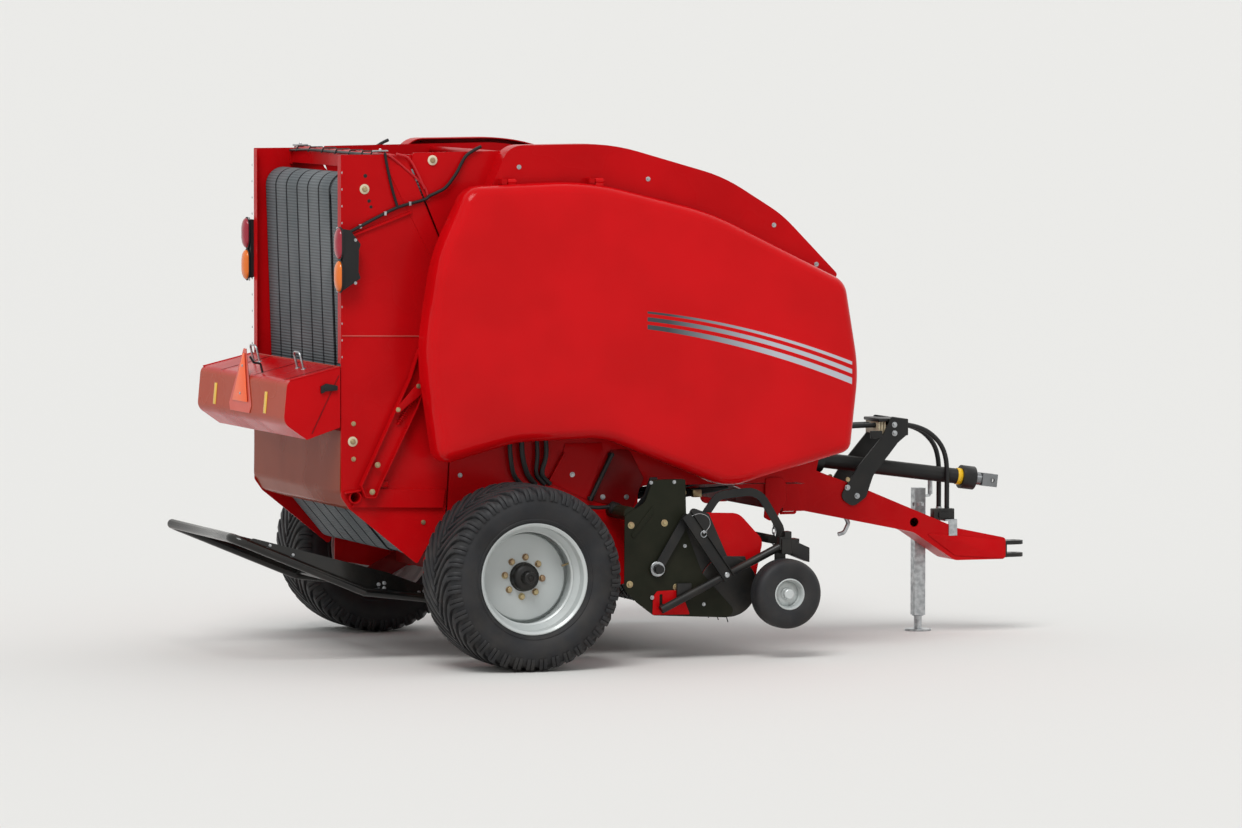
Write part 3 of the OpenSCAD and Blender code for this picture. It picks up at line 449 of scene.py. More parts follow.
def belt_lines(t, here, shade):
    """Grooves between a belt's ribs, darker than their rubbed tops, and its dark edges."""
    grey = spread(t, rib_wave(t), -0.9, 0.6, 0.68, 1.0)
    cell = worked(t, "FRACT", worked(t, "DIVIDE", along_axis(t, here, "Y"), BELT_PITCH / 1000))
    edge = worked(t, "ABSOLUTE", worked(t, "SUBTRACT", cell, 0.5))
    rim = spread(t, edge, 0.42, 0.445, 1.0, 0.15)
    return tinted(t, worked(t, "MULTIPLY", grey, rim), "#25282b", shade)


def painted_ground_reflection(t, here, shade):
    """Painted reflection: the cover's faces to the rear are tinted brown for the ground they face,
    like the sheets below it.
    """
    x = along_axis(t, add(t, "TexCoord").outputs["Normal"], "X")
    return tinted(t, spread(t, x, -0.6, -0.98, 0.0, 0.85), shade, "#a83f1c")


# Sheet steel under gloss enamel: sharp soft highlights over a faint orange peel
red_enamel = surface("red gloss enamel on steel", "#c20a11", "#b4080e", (0.22, 0.32), 3, 0.05,
    coat=0.03, dust=0.02, shine=0.06)
# The same enamel on inner frames, darkened as painted shade where light hardly comes, and with more
# dust
shaded_red_enamel = surface("red enamel with painted shade", "#8a0b10", "#6b060a", (0.35, 0.5), 3, 0.08,
    coat=0.03, dust=0.08, shine=0.12)
# The rear sheets keep a strong gloss; their colour is browned as a painted reflection of the ground
ground_reflection_enamel = surface("red enamel with painted ground reflection", "#8f3818", "#823114", (0.2, 0.3), 3, 0.05,
    dust=0.02, shine=0.05)
# Net box enamel, with a painted reflection of the ground on its faces to the rear
cover_enamel = surface("red enamel of the net box", "#c20a11", "#b4080e", (0.2, 0.3), 3, 0.05,
    dust=0.02, shine=0.07, pattern=painted_ground_reflection)
# Moulded and lacquered skin of the shields, smoother than the steel, with film stripes
shield_skin = surface("lacquered moulded red shield", "#cc0810", "#c2070d", (0.12, 0.18), 6, 0.02,
    coat=0.08, dust=0.01, shine=0.1, pattern=side_stripes)
# Powder coat, black: satin with a fine grain
black_coat = surface("black powder coat on steel", "#141516", "#0e0f10", (0.34, 0.46), 1.6, 0.15,
    dust=0.06, shine=0.35)
# Gloss black enamel of the bale ramp, with clear highlights along its tubes
black_gloss = surface("gloss black enamel on steel", "#0c0d0e", "#090a0a", (0.14, 0.22), 3, 0.05,
    coat=0.2, dust=0.04, shine=0.4)
# Powder coat in an olive charcoal, as on the pick-up's ends
charcoal_coat = surface("charcoal powder coat on steel", "#1f2117", "#191b12", (0.42, 0.55), 1.6,
    0.15, dust=0.03, shine=0.12)
# Moulded black plastic: matt with a leathery grain
black_moulding = surface("black moulded polypropylene", "#151617", "#101112", (0.45, 0.6), 1.2, 0.3,
    dust=0.04, shine=0.35)
# Belt rubber, ribbed for grip and rubbed grey by the crop
belt_rubber = surface("ribbed belt rubber", "#6c7174", "#5f6568", (0.55, 0.7), 2, 0.3, shine=0.2,
    pattern=belt_lines, relief=belt_ribs)
# Tyre rubber: matt, grey with a little dust low down
tyre_rubber = surface("vulcanised tyre rubber", "#26272a", "#1d1e21", (0.5, 0.68), 2.5, 0.3,
    dust=0.05, patch=5, shine=0.3)
# Hose cover: smooth extruded rubber with a wrap weave
hose_cover = surface("extruded hose rubber", "#131415", "#0e0f10", (0.36, 0.46), 1.5, 0.2,
    shine=0.4)
# Red sleeving of the thin lines on the tailgate
red_sleeve = surface("red nylon tube", "#c4161f", "#a51219", (0.3, 0.4), 2, 0.1, shine=0.4)
# Silver wheel enamel over pressed steel
wheel_silver = surface("silver enamel on pressed steel", "#c6cbca", "#babfbe", (0.3, 0.42), 2, 0.06,
    metal=0.15, coat=0.2, dust=0.08)
# Zinc-plated steel: bright, slightly blue, with cloudy spangle
zinc_plate = surface("zinc plated steel", "#c0c3c5", "#a0a4a7", (0.28, 0.45), 1.5, 0.12, metal=0.9,
    patch=40)
# Yellow chromate over zinc, as on pins and nuts
yellow_zinc = surface("yellow passivated zinc", "#b9ab80", "#9a7f66", (0.32, 0.5), 1.5, 0.12,
    metal=0.7, patch=14)
# Turned steel rollers, polished by the belts
roller_steel = surface("drawn roller steel", "#85888b", "#6b6e70", (0.3, 0.5), 2, 0.2, metal=0.9,
    dust=0.1)
# Chromed piston rod
chrome = surface("hard chromed steel", "#cfd2d5", "#c2c5c8", (0.08, 0.14), 2, 0.02, metal=1.0)
# Acrylic lamp lenses
red_lens = surface("red acrylic lens", "#a00f2c", "#8c0c26", (0.12, 0.2), 4, 0.05, coat=0.3)
amber_lens = surface("amber acrylic lens", "#e8750f", "#dc680c", (0.12, 0.2), 4, 0.05, coat=0.3)
# Fluorescent film and its red border
orange_film = surface("fluorescent orange film", "#ff6a2a", "#f9602a", (0.3, 0.4), 3, 0.05,
    shine=0.3)
border_film = surface("red-orange retroreflective film", "#d9452a", "#cb3c24", (0.25, 0.35), 0.8,
    0.3, shine=0.3)
yellow_film = surface("yellow reflective film", "#f4c21c", "#e5b414", (0.25, 0.35), 0.8, 0.3)
# Painted highlight along the edge of a fold: a lighter red standing in for light caught on it
painted_highlight_red = surface("red enamel with painted highlight", "#cf5a52", "#c04840", (0.3, 0.4), 2, 0.1,
    shine=0.3)
# Cream enamelled washers that have gone dull
cream_washer = surface("cream enamelled steel", "#ddd0b4", "#cdbf9f", (0.35, 0.5), 2, 0.1)

# Hoses from the bulkhead over the holder to their parking block, in millimetres
HOSE = [(1975, -60, 1165), (2060, -60, 1165), (2150, -58, 1169), (2260, -55, 1176),
    (2380, -52, 1183), (2500, -50, 1186), (2600, -50, 1186.5), (2680, -50, 1186.5),
    (2760, -50, 1178), (2840, -52, 1150), (2900, -54, 1105), (2940, -57, 1050), (2960, -60, 985),
    (2966, -60, 910), (2966, -60, 840), (2966, -60, 775), (2966, -60, 712)]
HOSE_RADIUS = 14
for name, side in (("hose_upper", 1), ("hose_lower", -1)):
    route = flowing([(x, y * side, z) for x, y, z in HOSE], 3)
    hose = done([pipe(route, HOSE_RADIUS, smooth=4)], name + "_rubber", "frame", hose_cover, [name])


# Wheels

MAIN = (0, 1309, 497)
GAUGE = (1548, 1222, 357)


def ringed(table, side, wheel, steps=96):
    """Turns a table about a wheel's axis, its outer side towards the machine's outside."""
    x, y, z = wheel
    return turned((x, side * y, z), (0, side, 0), table, steps)


RIM = [(299, 216), (300, 212), (299, 207), (287, 205), (286, 150), (262, 122), (262, -122),
    (286, -150), (287, -205), (299, -207), (299, -216), (294, -217), (281, -210), (278, -152),
    (256, -124), (254, 30), (254, 84), (245, 90), (245, 106), (254, 112), (254, 124), (262, 134),
    (278, 152), (281, 208), (290, 215), (294, 217.5), (299, 216)]
DISC = [(0, 33), (222, 33), (229, 32), (234, 28), (237, 21), (239, 4), (244, -6), (255, -9),
    (255, -19), (240, -15), (231, -2), (228, 18), (222, 23), (0, 23), (0, 33)]
HUB = [(0, 146), (16, 146), (18, 150), (29, 150), (33, 147), (35, 141), (36, 104), (38, 100),
    (42, 98), (56, 95), (66, 89), (72, 80), (74, 70), (74, 36), (79, 34), (79, 20), (0, 20)]
INNER_HUB = [(0, 23), (105, 23), (105, -60), (98, -106), (0, -106)]
SIDEWALL = [(286.4, 205.5), (296, 207), (304, 216), (314, 226), (318, 231), (322, 231.5),
    (325, 229.5), (340, 238), (358, 244.5), (380, 248.5), (402, 249), (406, 247.5), (424, 245),
    (442, 239), (456, 229), (468, 214), (476, 192), (481, 160), (483.5, 90), (484, 0)]
TYRE = SIDEWALL + [(r, -a) for r, a in reversed(SIDEWALL[:-1])] + [SIDEWALL[0]]
# Lug of the tread: distance from the middle, turn in degrees, half width, top and foot radius
LUG = [[4, 25, 12, 497, 481], [30, 22.4, 14, 497, 481], [62, 18.2, 16, 497, 481],
    [96, 13.2, 18, 497, 480], [130, 8.6, 19.5, 497, 479], [162, 4.8, 21, 496, 477],
    [190, 2.2, 22, 494, 472], [206, 1.2, 22, 491, 467]]
# Each half of a lug's forked end on the shoulder
PRONG = [[200, 1.5, 9.5, 492.5, 470], [222, 0.5, 10, 484, 457], [241, 0.1, 10, 464, 441],
    [251.5, 0, 9, 436, 424]]
LUGS = 40
# The wheel's bolt circle, and its face out from the middle
BOLT_RING, DISC_FACE = 106, 33


def lug(table, side, shift=0):
    """One bar of the tread, with its foot wider than its top."""
    rings = []
    for a, twist, half, top, foot in table:
        ring = []
        for r, k, wide in ((foot, -1, 1.15), (top, -1, 1), (top, 1, 1), (foot, 1, 1.15)):
            turn = math.radians(twist + 50) + (shift + k * half * wide) / r
            ring.append((MAIN[0] - r * math.sin(turn), side * (MAIN[1] + a),
                         MAIN[2] + r * math.cos(turn)))
        rings.append(ring)
    o = lofted(rings)
    clear()
    bpy.context.view_layer.objects.active = o
    return rounded(o, 2.2, 40, 1)


def spun_copies(o, side, count, start=0.0):
    """Copies round the axis of a main wheel."""
    centre = mm((MAIN[0], side * MAIN[1], MAIN[2]))
    return [copied(o, Matrix.Translation(centre) @ Matrix.Rotation(
        math.radians(start) + 2 * math.pi * k / count, 4, "Y") @ Matrix.Translation(-centre))
        for k in range(count)]


for side, word in ((-1, "right"), (1, "left")):
    wheel = "main_wheel_" + word
    rubber = ringed(TYRE, side, MAIN)
    outer = joined([lug(LUG, side), lug(PRONG, side, -12), lug(PRONG, side, 12)])
    inner = copied(outer, Matrix.Translation((0, side * 2 * MAIN[1] / 1000, 0)) @ MIRROR)
    tread = spun_copies(outer, side, LUGS) + spun_copies(inner, side, LUGS, 180 / LUGS)
    bpy.data.objects.remove(outer)
    bpy.data.objects.remove(inner)
    done([rubber] + tread, "main_tread_" + word, wheel, tyre_rubber, ["main_tyre_" + word],
        smooth=40)
    rim, disc = ringed(RIM, side, MAIN), ringed(DISC, side, MAIN)
    done([rim, disc], "wheel_disc_" + word, wheel, wheel_silver, ["main_rim_" + word], smooth=30)
    cap, back = ringed(HUB, side, MAIN), ringed(INNER_HUB, side, MAIN)
    plug = ringed([(0, 152), (8, 152), (10, 150), (10, 144), (0, 144)], side, MAIN, 6)
    done([cap, back, plug], "wheel_hub_" + word, wheel, black_coat, smooth=30)
    turns = [k * math.pi / 4 + 0.1 for k in range(8)]
    ring = [(BOLT_RING * math.sin(a), side * (MAIN[1] + DISC_FACE), MAIN[2]
        + BOLT_RING * math.cos(a)) for a in turns]
    fixings(bolts(ring, (0, side, 0), 30, 16, 19), "wheel_nuts_" + word, wheel, yellow_zinc,
        both=False)
    valve = pipe([(238, side * 1384, 566), (232, side * 1392, 565), (214, side * 1398, 560),
        (196, side * 1402, 556)], 5.5)
    done([valve], "valve_" + word, wheel, yellow_zinc)

# Circle of a gauge wheel's nuts
NUT_RING = 54
GAUGE_TYRE = [(78.2, 60), (86, 63), (92, 66), (110, 70), (130, 72.5), (150, 72.5), (165, 69),
    (176, 62), (184, 52), (188, 42), (189.5, 32), (189.8, 23), (186, 22), (186, 19), (189.9, 18),
    (190, 9), (186.5, 8), (186.5, 5), (190, 4), (190, 0)]
GAUGE_TYRE += [(r, -a) for r, a in reversed(GAUGE_TYRE[:-1])] + [GAUGE_TYRE[0]]
GAUGE_RIM = [(84, 65), (85.5, 63), (84, 60.8), (78, 60), (77.7, 20), (70, 16), (70, -16),
    (77.7, -20), (78, -60), (84, -61), (84, -65), (76, -64), (73, -40), (66, -14), (66, 0), (60, 6),
    (44, 10), (30, 10), (30, 24), (24, 26), (24, 52), (20, 55), (0, 55), (0, 60), (23, 60),
    (27, 57), (28, 28), (34, 24), (34, 16), (46, 16), (63, 11), (71, 4), (73, 20), (75, 44),
    (77, 60), (80, 66), (84, 65)]
for side, word in ((-1, "right"), (1, "left")):
    wheel = "gauge_wheel_" + word
    done([ringed(GAUGE_TYRE, side, GAUGE, 72)], "gauge_tread_" + word, wheel, tyre_rubber,
        ["gauge_tyre_" + word])
    rim = ringed(GAUGE_RIM, side, GAUGE, 48)
    turns = [k * 1.2566 for k in range(5)]
    nuts = [(GAUGE[0] + NUT_RING * math.cos(a), side * (GAUGE[1] + 13),
        GAUGE[2] + NUT_RING * math.sin(a)) for a in turns]
    done([rim] + bolts(nuts, (0, side, 0), 8, 4), "gauge_disc_" + word, wheel, wheel_silver,
        ["gauge_rim_" + word], smooth=30)


# Belts

# Rollers in the belts' order: x, z, radius, side of the belt on which it lies
GATE_ROLLERS = [[-640, 950, 82.7, 1], [-412, 645, 60, 1], [-682, 2540, 92.7, 1]]
FRONT_ROLLERS = [[505, 881, 91, 1], [1700, 1130, 91, 1], [1785, 1880, 93, 1], [1270, 2370, 93, 1],
    [640, 2560, 93, 1], [-250, 2555, 93, 1], [980, 2260, 55, -1], [1560, 1790, 55, -1],
    [1490, 1260, 55, -1]]


def belt_line(table, out):
    """The line of a belt round its rollers, out from their faces."""
    def reach(c):
        return c[2] + 0.3 + out if c[3] > 0 else -(c[2] + 0.3 + BELT_THICK - out)

    n, turns, line = len(table), [], []
    for i, c in enumerate(table):
        e = table[(i + 1) % n]
        dx, dz = e[0] - c[0], e[1] - c[1]
        turns.append(math.atan2(dz, dx) + math.asin((reach(c) - reach(e)) / math.hypot(dx, dz)))
    for i, c in enumerate(table):
        start, sweep = turns[i - 1], (turns[i] - turns[i - 1]) % (2 * math.pi)
        if c[3] < 0:
            sweep = -((turns[i - 1] - turns[i]) % (2 * math.pi))
        steps = max(1, math.ceil(abs(sweep) / math.radians(7.5)))
        for k in range(steps + 1):
            a = start - math.pi / 2 + sweep * k / steps
            line.append((c[0] + reach(c) * math.cos(a), c[1] + reach(c) * math.sin(a)))
    return line


def belt_set(table, name, body):
    """Belts side by side, each with its length run into its own map."""
    middle = belt_line(table, 0)
    n = len(middle)
    runs = [0.0]
    for k in range(n):
        a, b = middle[k], middle[(k + 1) % n]
        runs.append(runs[-1] + math.hypot(b[0] - a[0], b[1] - a[1]) / 1000)
    made = []
    for i in range(BELTS):
        y = (i - (BELTS - 1) / 2) * BELT_PITCH - BELT_WIDTH / 2
        o = drawn([(x, y, z) for x, z in middle])
        bpy.ops.mesh.extrude_region_move(TRANSFORM_OT_translate={
            "value": (0, BELT_WIDTH / 1000, 0)})
        bpy.ops.object.mode_set(mode="OBJECT")
        place = {}
        for v in o.data.vertices:
            place[v.index] = min(range(n), key=lambda k: (mm((middle[k][0], 0, middle[k][1]))
                                                          - v.co).xz.length)
        chart = o.data.uv_layers[0]
        for face in o.data.polygons:
            ends = {place[v] for v in face.vertices}
            wraps = ends == {0, n - 1}
            for v, l in zip(face.vertices, face.loop_indices):
                u = runs[n] if wraps and place[v] == 0 else runs[place[v]]
                chart.data[l].uv = (u, o.data.vertices[v].co.y)
        thick = o.modifiers.new("thick", "SOLIDIFY")
        thick.thickness = BELT_THICK / 1000
        outward = o.data.polygons[0].normal.dot(Vector((middle[0][0] - table[0][0], 0,
                                                        middle[0][1] - table[0][1]))) > 0
        thick.offset = 1 if outward else -1
        bpy.ops.object.modifier_apply(modifier="thick")
        made.append(o)
    return done(made, name + "_ribbed", body, belt_rubber, [name], smooth=40)


belt_set(GATE_ROLLERS, "tailgate_belts", "tailgate")
belt_set(FRONT_ROLLERS, "front_belts", "frame")


# Side shields

# Outline: x, z, corner radius
SHIELD = [(-385, 1075, 80), (60, 1195, 700), (560, 1212, 450), (1280, 925, 300), (1990, 1112, 70),
    (2035, 1560, 900), (1955, 2043, 120), (1180, 2425, 1500), (480, 2600, 1500), (-215, 2575, 130),
    (-395, 2210, 900), (-478, 1680, 1200)]
# Middle of the shield, the height from it over which its face falls back, and by how much
SHIELD_X, SHIELD_Z, CROWN_HEIGHT, CROWN = 780, 1700, 800, 34
# Its face's distance from the machine's middle, and its depth
SHIELD_Y, SHIELD_DEPTH = 1122, 165


def inset(table, d):
    """An outline moved inwards, its corner radii following."""
    out, n = [], len(table)
    for i, (x, z, r) in enumerate(table):
        a = (Vector((x, z)) - Vector(table[i - 1][:2])).normalized()
        b = (Vector(table[(i + 1) % n][:2]) - Vector((x, z))).normalized()
        m = Vector((-a.y - b.y, a.x + b.x)) * d / (1 + a.dot(b))
        turn = a.x * b.y - a.y * b.x
        out.append((x + m.x, z + m.y, 0 if r <= 0 else max(1, r - math.copysign(d, turn))))
    return out


def arc_outline(table, steps=9):
    """An outline with true round corners."""
    out, n = [], len(table)
    for i, (x, z, r) in enumerate(table):
        p = Vector((x, z))
        a = (Vector(table[i - 1][:2]) - p).normalized()
        b = (Vector(table[(i + 1) % n][:2]) - p).normalized()
        half = math.acos(max(-1, min(1, a.dot(b)))) / 2
        c = p + (a + b).normalized() * r / math.sin(half)
        v, w = p + a * r / math.tan(half) - c, p + b * r / math.tan(half) - c
        s, e = math.atan2(v.y, v.x), math.atan2(w.y, w.x)
        sweep = (e - s + 3 * math.pi) % (2 * math.pi) - math.pi
        out += [(c.x + r * math.cos(s + sweep * k / steps), c.y + r * math.sin(s + sweep * k / steps))
                for k in range(steps + 1)]
    return out


def shield_ring(d, depth, s=1.0):
    """One ring of the shield: inset, depth behind the face and share of the way out."""
    ring = []
    for x, z in arc_outline(inset(SHIELD, d)):
        x, z = SHIELD_X + (x - SHIELD_X) * s, SHIELD_Z + (z - SHIELD_Z) * s
        fall = CROWN * ((z - SHIELD_Z) / CROWN_HEIGHT) ** 2 * (SHIELD_DEPTH - depth) / SHIELD_DEPTH
        ring.append((x, -(SHIELD_Y - depth) + fall, z))
    return ring


# Edge of a shield: inset and depth
EDGE = [(62, 3), (52, 5), (41, 9.5), (30, 16), (20, 25.5), (12, 37), (7, 50), (3, 68), (1, 88),
    (0, 110), (0, SHIELD_DEPTH)]
rings = [shield_ring(62, 0, 0.02), shield_ring(62, 0, 0.35), shield_ring(62, 0, 0.7),
    shield_ring(62, 0.6, 0.9)] + [shield_ring(d, k) for d, k in EDGE]
rings += [shield_ring(d + 6, max(k, 6) - (1 if k == SHIELD_DEPTH else 0))
    for d, k in reversed(EDGE)]
rings += [shield_ring(68, 6, s) for s in (0.7, 0.35, 0.02)]
skin = lofted(rings)
HINGES = (60, 560)
for x in HINGES:
    skin = cut(skin, block((x - 68, -1002, 2550), (x - 26, -942, 2630), 0))
knuckles = []
for x in HINGES:
    knuckles += [turned((x - 24, -972, 2598), (1, 0, 0), [(8.5, 0), (15, 0), (16, 1), (16, 43),
        (15, 44), (8.5, 44), (8.5, 0)], 24), block((x - 24, -984, 2536), (x + 20, -972, 2590), 1),
        block((x - 24, -1032, 2536), (x + 20, -972, 2544), 1)]
right = joined([skin] + knuckles)
for shape, word in ((right, "right"), (copied(right, MIRROR), "left")):
    done([shape], "shield_skin_" + word, "shield_" + word, shield_skin, ["shield_" + word],
        smooth=32)


# Tailgate

# Outer face of the tailgate's right wall
WALL = -789
washers = [(-712, WALL - 0.5, 2560), (-329, WALL - 5, 2712), (-780, WALL - 0.5, 1204)]
rings = [turned(p, (0, -1, 0), [(0, 3.5), (24, 3.5), (27, 2), (27, 0), (0, 0)], 30)
    for p in washers]
twins(rings, "wall_washers", "tailgate", cream_washer)
fixings(bolts([(p[0], p[1] - 3.5, p[2]) for p in washers], across=26, high=8, washer=15)
    + bolts([(-380, WALL - 0.5, 760), (-775, WALL - 0.5, 1300), (-775, WALL - 0.5, 1110)],
    across=18, high=6), "wall_bolts", "tailgate", yellow_zinc)
# The wall seam: a strip of lighter red as a painted highlight along the fold
twins([slab([(-840, WALL, 1777), (-362, WALL, 1768), (-362, WALL, 1762), (-840, WALL, 1771)],
    (0, -4, 0), 1)], "wall_seam", "tailgate", painted_highlight_red)
# Dark discs over the wall's holes: painted shade standing in for the dark inside the holes
hole_shades = [turned(p, (0, -1, 0), [(0, 0.6), (r - 1, 0.6), (r, 0.2), (r, -0.4), (0, -0.4)], 20)
    for p, r in (((-707, WALL, 2631), 11), ((-686, WALL, 2496), 10), ((-675, WALL, 2464), 9))]
twins(hole_shades, "wall_hole_shades", "tailgate", black_moulding, slot=False)
rivets = [(-846.2, -815, z) for z in range(1660, 2740, 90)]
twins(placed_at(turned(rivets[0], (-1, 0, 0), [(0, 3), (5, 2.6), (7, 0), (0, 0)], 12), rivets),
    "flange_rivets", "tailgate", zinc_plate)
CONDUIT = [(-800, -806, 2330), (-779, -806, 2342), (-654, -803, 2404), (-524, -803, 2462),
    (-383, -803, 2499), (-350, -804, 2520)]
lines = [pipe(flowing(CONDUIT), 9), pipe(flowing([(-530, -804, 2460), (-560, -803, 2560),
    (-588, -803, 2680), (-600, -800, 2752)]), 8)]
twins(lines, "tailgate_conduit", "tailgate", black_moulding)
twins([slab([(-780, WALL, 2318), (-447, WALL, 2440), (-447, WALL, 2428), (-780, WALL, 2306)],
    (0, -14, 0), 1)], "conduit_ledge", "tailgate", red_enamel)
twins([pipe(flowing([(-350, -804, 2520), (-303, -808, 2541), (-258, -812, 2567), (-200, -812, 2640),
    (-149, -806, 2726), (-100, -803, 2762), (-55, -801, 2784)]), 9)], "frame_conduit", "frame",
    black_moulding)
thin = [pipe(flowing([(-584, -796, 2745), (-520, -797, 2700), (-383, -797, 2579),
    (-350, -797, 2500)]), 6), pipe(flowing([(-536, -803, 2748), (-468, -803, 2725),
    (-420, -803, 2650), (-378, -803, 2560)]), 6)]
twins(thin, "tailgate_red_lines", "tailgate", red_sleeve)
# Bundle across the top beam: red lines and black hoses under straps, with a clip at each end
bundle = [pipe(flowing([(-618 + 15 * k, 766, 2733), (-616 + 15 * k, 740, 2743 + 5 * (k % 2)),
    (-612 + 13 * k, 420, 2744 + 6 * (k % 2)), (-600 + 11 * k, 120, 2747),
    (-614 + 13 * k, -300, 2744 + 6 * (k % 2)), (-606 + 12 * k, -600, 2743),
    (-590 + 10 * k, -770, 2742), (-560 + 8 * k, -786, 2736)]), 6.5) for k in range(4)]
done(bundle, "top_lines", "tailgate", red_sleeve)
bundle = [pipe(flowing([(-640 + 76 * k, 766, 2731), (-636 + 70 * k, 420, 2742),
    (-632 + 74 * k, 0, 2741), (-636 + 70 * k, -420, 2742), (-622 + 60 * k, -772, 2738)]), 7.5)
    for k in range(2)]
bundle += [pipe(eased([(-646, y, 2730), (-634, y, 2757), (-560, y + 6, 2757), (-550, y + 6, 2730)],
    8), 4) for y in (640, 420, 180, -60, -300, -520, -680)]
done(bundle, "top_hoses", "tailgate", hose_cover)
done([block((-640, y - 12, 2757), (-556, y + 12, 2766), 2) for y in (712, -712)]
    + bolts([(-598, 712, 2766), (-598, -712, 2766)], (0, 0, 1), 14, 6), "top_clips", "tailgate",
    zinc_plate, smooth=25)
clips = [block((x - 7, -812, z - 11), (x + 7, WALL - 1, z + 11), 2)
    for x, z in ((-740, 2361), (-600, 2429), (-460, 2480))]
twins(clips, "conduit_clips", "tailgate", zinc_plate)

# Latch: spring coils on a rod, fittings and the small plates near the bottom channel. The outer
# face of its right arm, then the turns of the coil, the points of a turn and its radius
LATCH = -853.6
COIL_TURNS, TURN_POINTS, COIL_RADIUS = 13, 14, 14.4
a, b = Vector((-538, -826.6, 1292)), Vector((-432, -826.6, 1452))
out = Vector((0, -1, 0))
third = (b - a).normalized().cross(out)
coil = []
for k in range(COIL_TURNS * TURN_POINTS + 1):
    t, turn = k / (COIL_TURNS * TURN_POINTS), 2 * math.pi * k / TURN_POINTS
    coil.append(a + (b - a) * (0.06 + 0.88 * t) + (out * math.cos(turn)
        + third * math.sin(turn)) * COIL_RADIUS)
twins([pipe(coil, 2.6, smooth=2), stick(a, b, 6)], "latch_coils", "tailgate", red_enamel,
    ["latch_springs"])
fittings = [plate([(-566, 1372, 8), (-545, 1352, 8), (-395, 1470, 14), (-362, 1540, 14),
    (-392, 1690, 12), (-425, 1690, 12), (-420, 1548, 20), (-440, 1510, 20)], LATCH, (0, -6, 0),
    1.5)]
twins(fittings, "latch_hook", "tailgate", red_enamel)
fixings(bolts([(-430, LATCH - 6, 1500), (-408, LATCH - 6, 1660), (-545, LATCH - 6, 1375)],
    across=18, high=6) + bolts([(-660, LATCH, 1080), (-690, LATCH, 935)], across=22, high=8),
    "latch_bolts", "tailgate", yellow_zinc)
twins([slab([(-832, -790, 936), (-744, -790, 946), (-744, -790, 938), (-832, -790, 926)],
    (0, -40, 0), 1), block((-640, -822, 958), (-590, -809.5, 988), 3)], "channel_gusset",
    "tailgate", red_enamel)

# Lamps: tall domed lenses over a moulded base, and the bracket's screws. Rear face and middle of
# the right bracket, heights of the lamps, a lens's radius and half its straight part's height
LAMP_X, LAMP_Y, RED_LAMP_Z, AMBER_LAMP_Z = -862, -845, 2272, 2096
LENS_RADIUS, LENS_STRAIGHT = 45, 37.5


def tall_dome(z, table):
    """Rings of a tall shape on the lamp bracket from rows of radius and distance to the rear."""
    rings = []
    for r, out in table:
        straight = LENS_STRAIGHT * r / LENS_RADIUS
        rings.append([(LAMP_X - out, LAMP_Y + r * math.cos(a),
                       z + (straight if k < 12 else -straight) + r * math.sin(a))
                      for k, a in enumerate([math.pi * (i - (i >= 12)) / 11 for i in range(24)])])
    return lofted(rings)


LENS = [(45, 8), (45.2, 11), (44.5, 16), (41.5, 22), (36, 27), (28, 31), (18, 33.6), (8, 34.8),
    (1, 35)]
for z, name, lens in ((RED_LAMP_Z, "red_lamps", red_lens),
        (AMBER_LAMP_Z, "amber_lamps", amber_lens)):
    twins([tall_dome(z, LENS)], name + "_glass", "tailgate", lens, [name])
base = [tall_dome(z, [(47.5, 0), (48.5, 2), (48.5, 8), (46, 10), (45.4, 10)])
    for z in (RED_LAMP_Z, AMBER_LAMP_Z)]
twins(base, "lamp_rings", "tailgate", black_moulding)
fixings(bolts([(-866, -800, 2352), (-866, -800, 2015)], (-1, 0, 0), 12, 5)
    + bolts([(-790, -873.4, 2290), (-790, -873.4, 2060)], across=12, high=4), "lamp_screws",
    "tailgate", zinc_plate)

# Net box cover: handles, seams, latches, strips and the triangle's bright middle. The outer
# face of its right side, and the way that its handles stand off its top
COVER_SIDE = -801
lean = Vector((-0.2348, 0, 0.972))
handles = []
for y in (-470, 330):
    foot = Vector((-955, y, 1581.7))
    d = Vector((0, 110, 0))
    handles += [pipe(eased([foot, foot + lean * 92, foot + d + lean * 92, foot + d], 26), 6),
        turned(foot, lean, [(0, 3), (13, 3), (14, 0), (0, 0)], 16), turned(foot + d, lean,
        [(0, 3), (13, 3), (14, 0), (0, 0)], 16)]
done(handles, "cover_grips", "net_cover", zinc_plate, ["cover_handles"])
trim = [slab([(-856, y0, 1607), (-1146, y0, 1536), (-1146, y1, 1536), (-856, y1, 1607)],
    (0, 0, 1.6), 0.5) for y0, y1 in ((-700, -694), (-160, -154), (430, 436))]
trim += [slab([(x, COVER_SIDE, z) for x, z in ((-858, 1560), (-1010, 1250), (-1016, 1253),
    (-864, 1563))], (0, -1.2, 0), 0.4)]
# The seam strips are drawn in the darker enamel made for painted shade
done(trim, "cover_seams", "net_cover", shaded_red_enamel)
edges = [pipe([(-856, y, 1606), (-1000, y, 1571.2), (-1138, y, 1538)], 3.5) for y in (-799, 799)]
edges += [pipe([(-857, -798, 1607), (-857, 0, 1607), (-857, 798, 1607)], 4)]
done(edges, "cover_hems", "net_cover", cover_enamel)
latches = [plate([(-965, 1505, 8), (-935, 1520, 8), (-872, 1508, 6), (-872, 1482, 6), (-940, 1478, 8),
    (-965, 1462, 8)], COVER_SIDE, (0, -16, 0), 3), stick((-940, -817, 1496), (-940, -822, 1496), 9)]
twins(latches, "cover_straps", "net_cover", black_moulding)
done([pipe(eased([(-1100, -190, 1552), (-1112, -190, 1600), (-1150, -190, 1606),
    (-1172, -190, 1640)], 12), 6)], "cover_hook", "net_cover", black_coat)
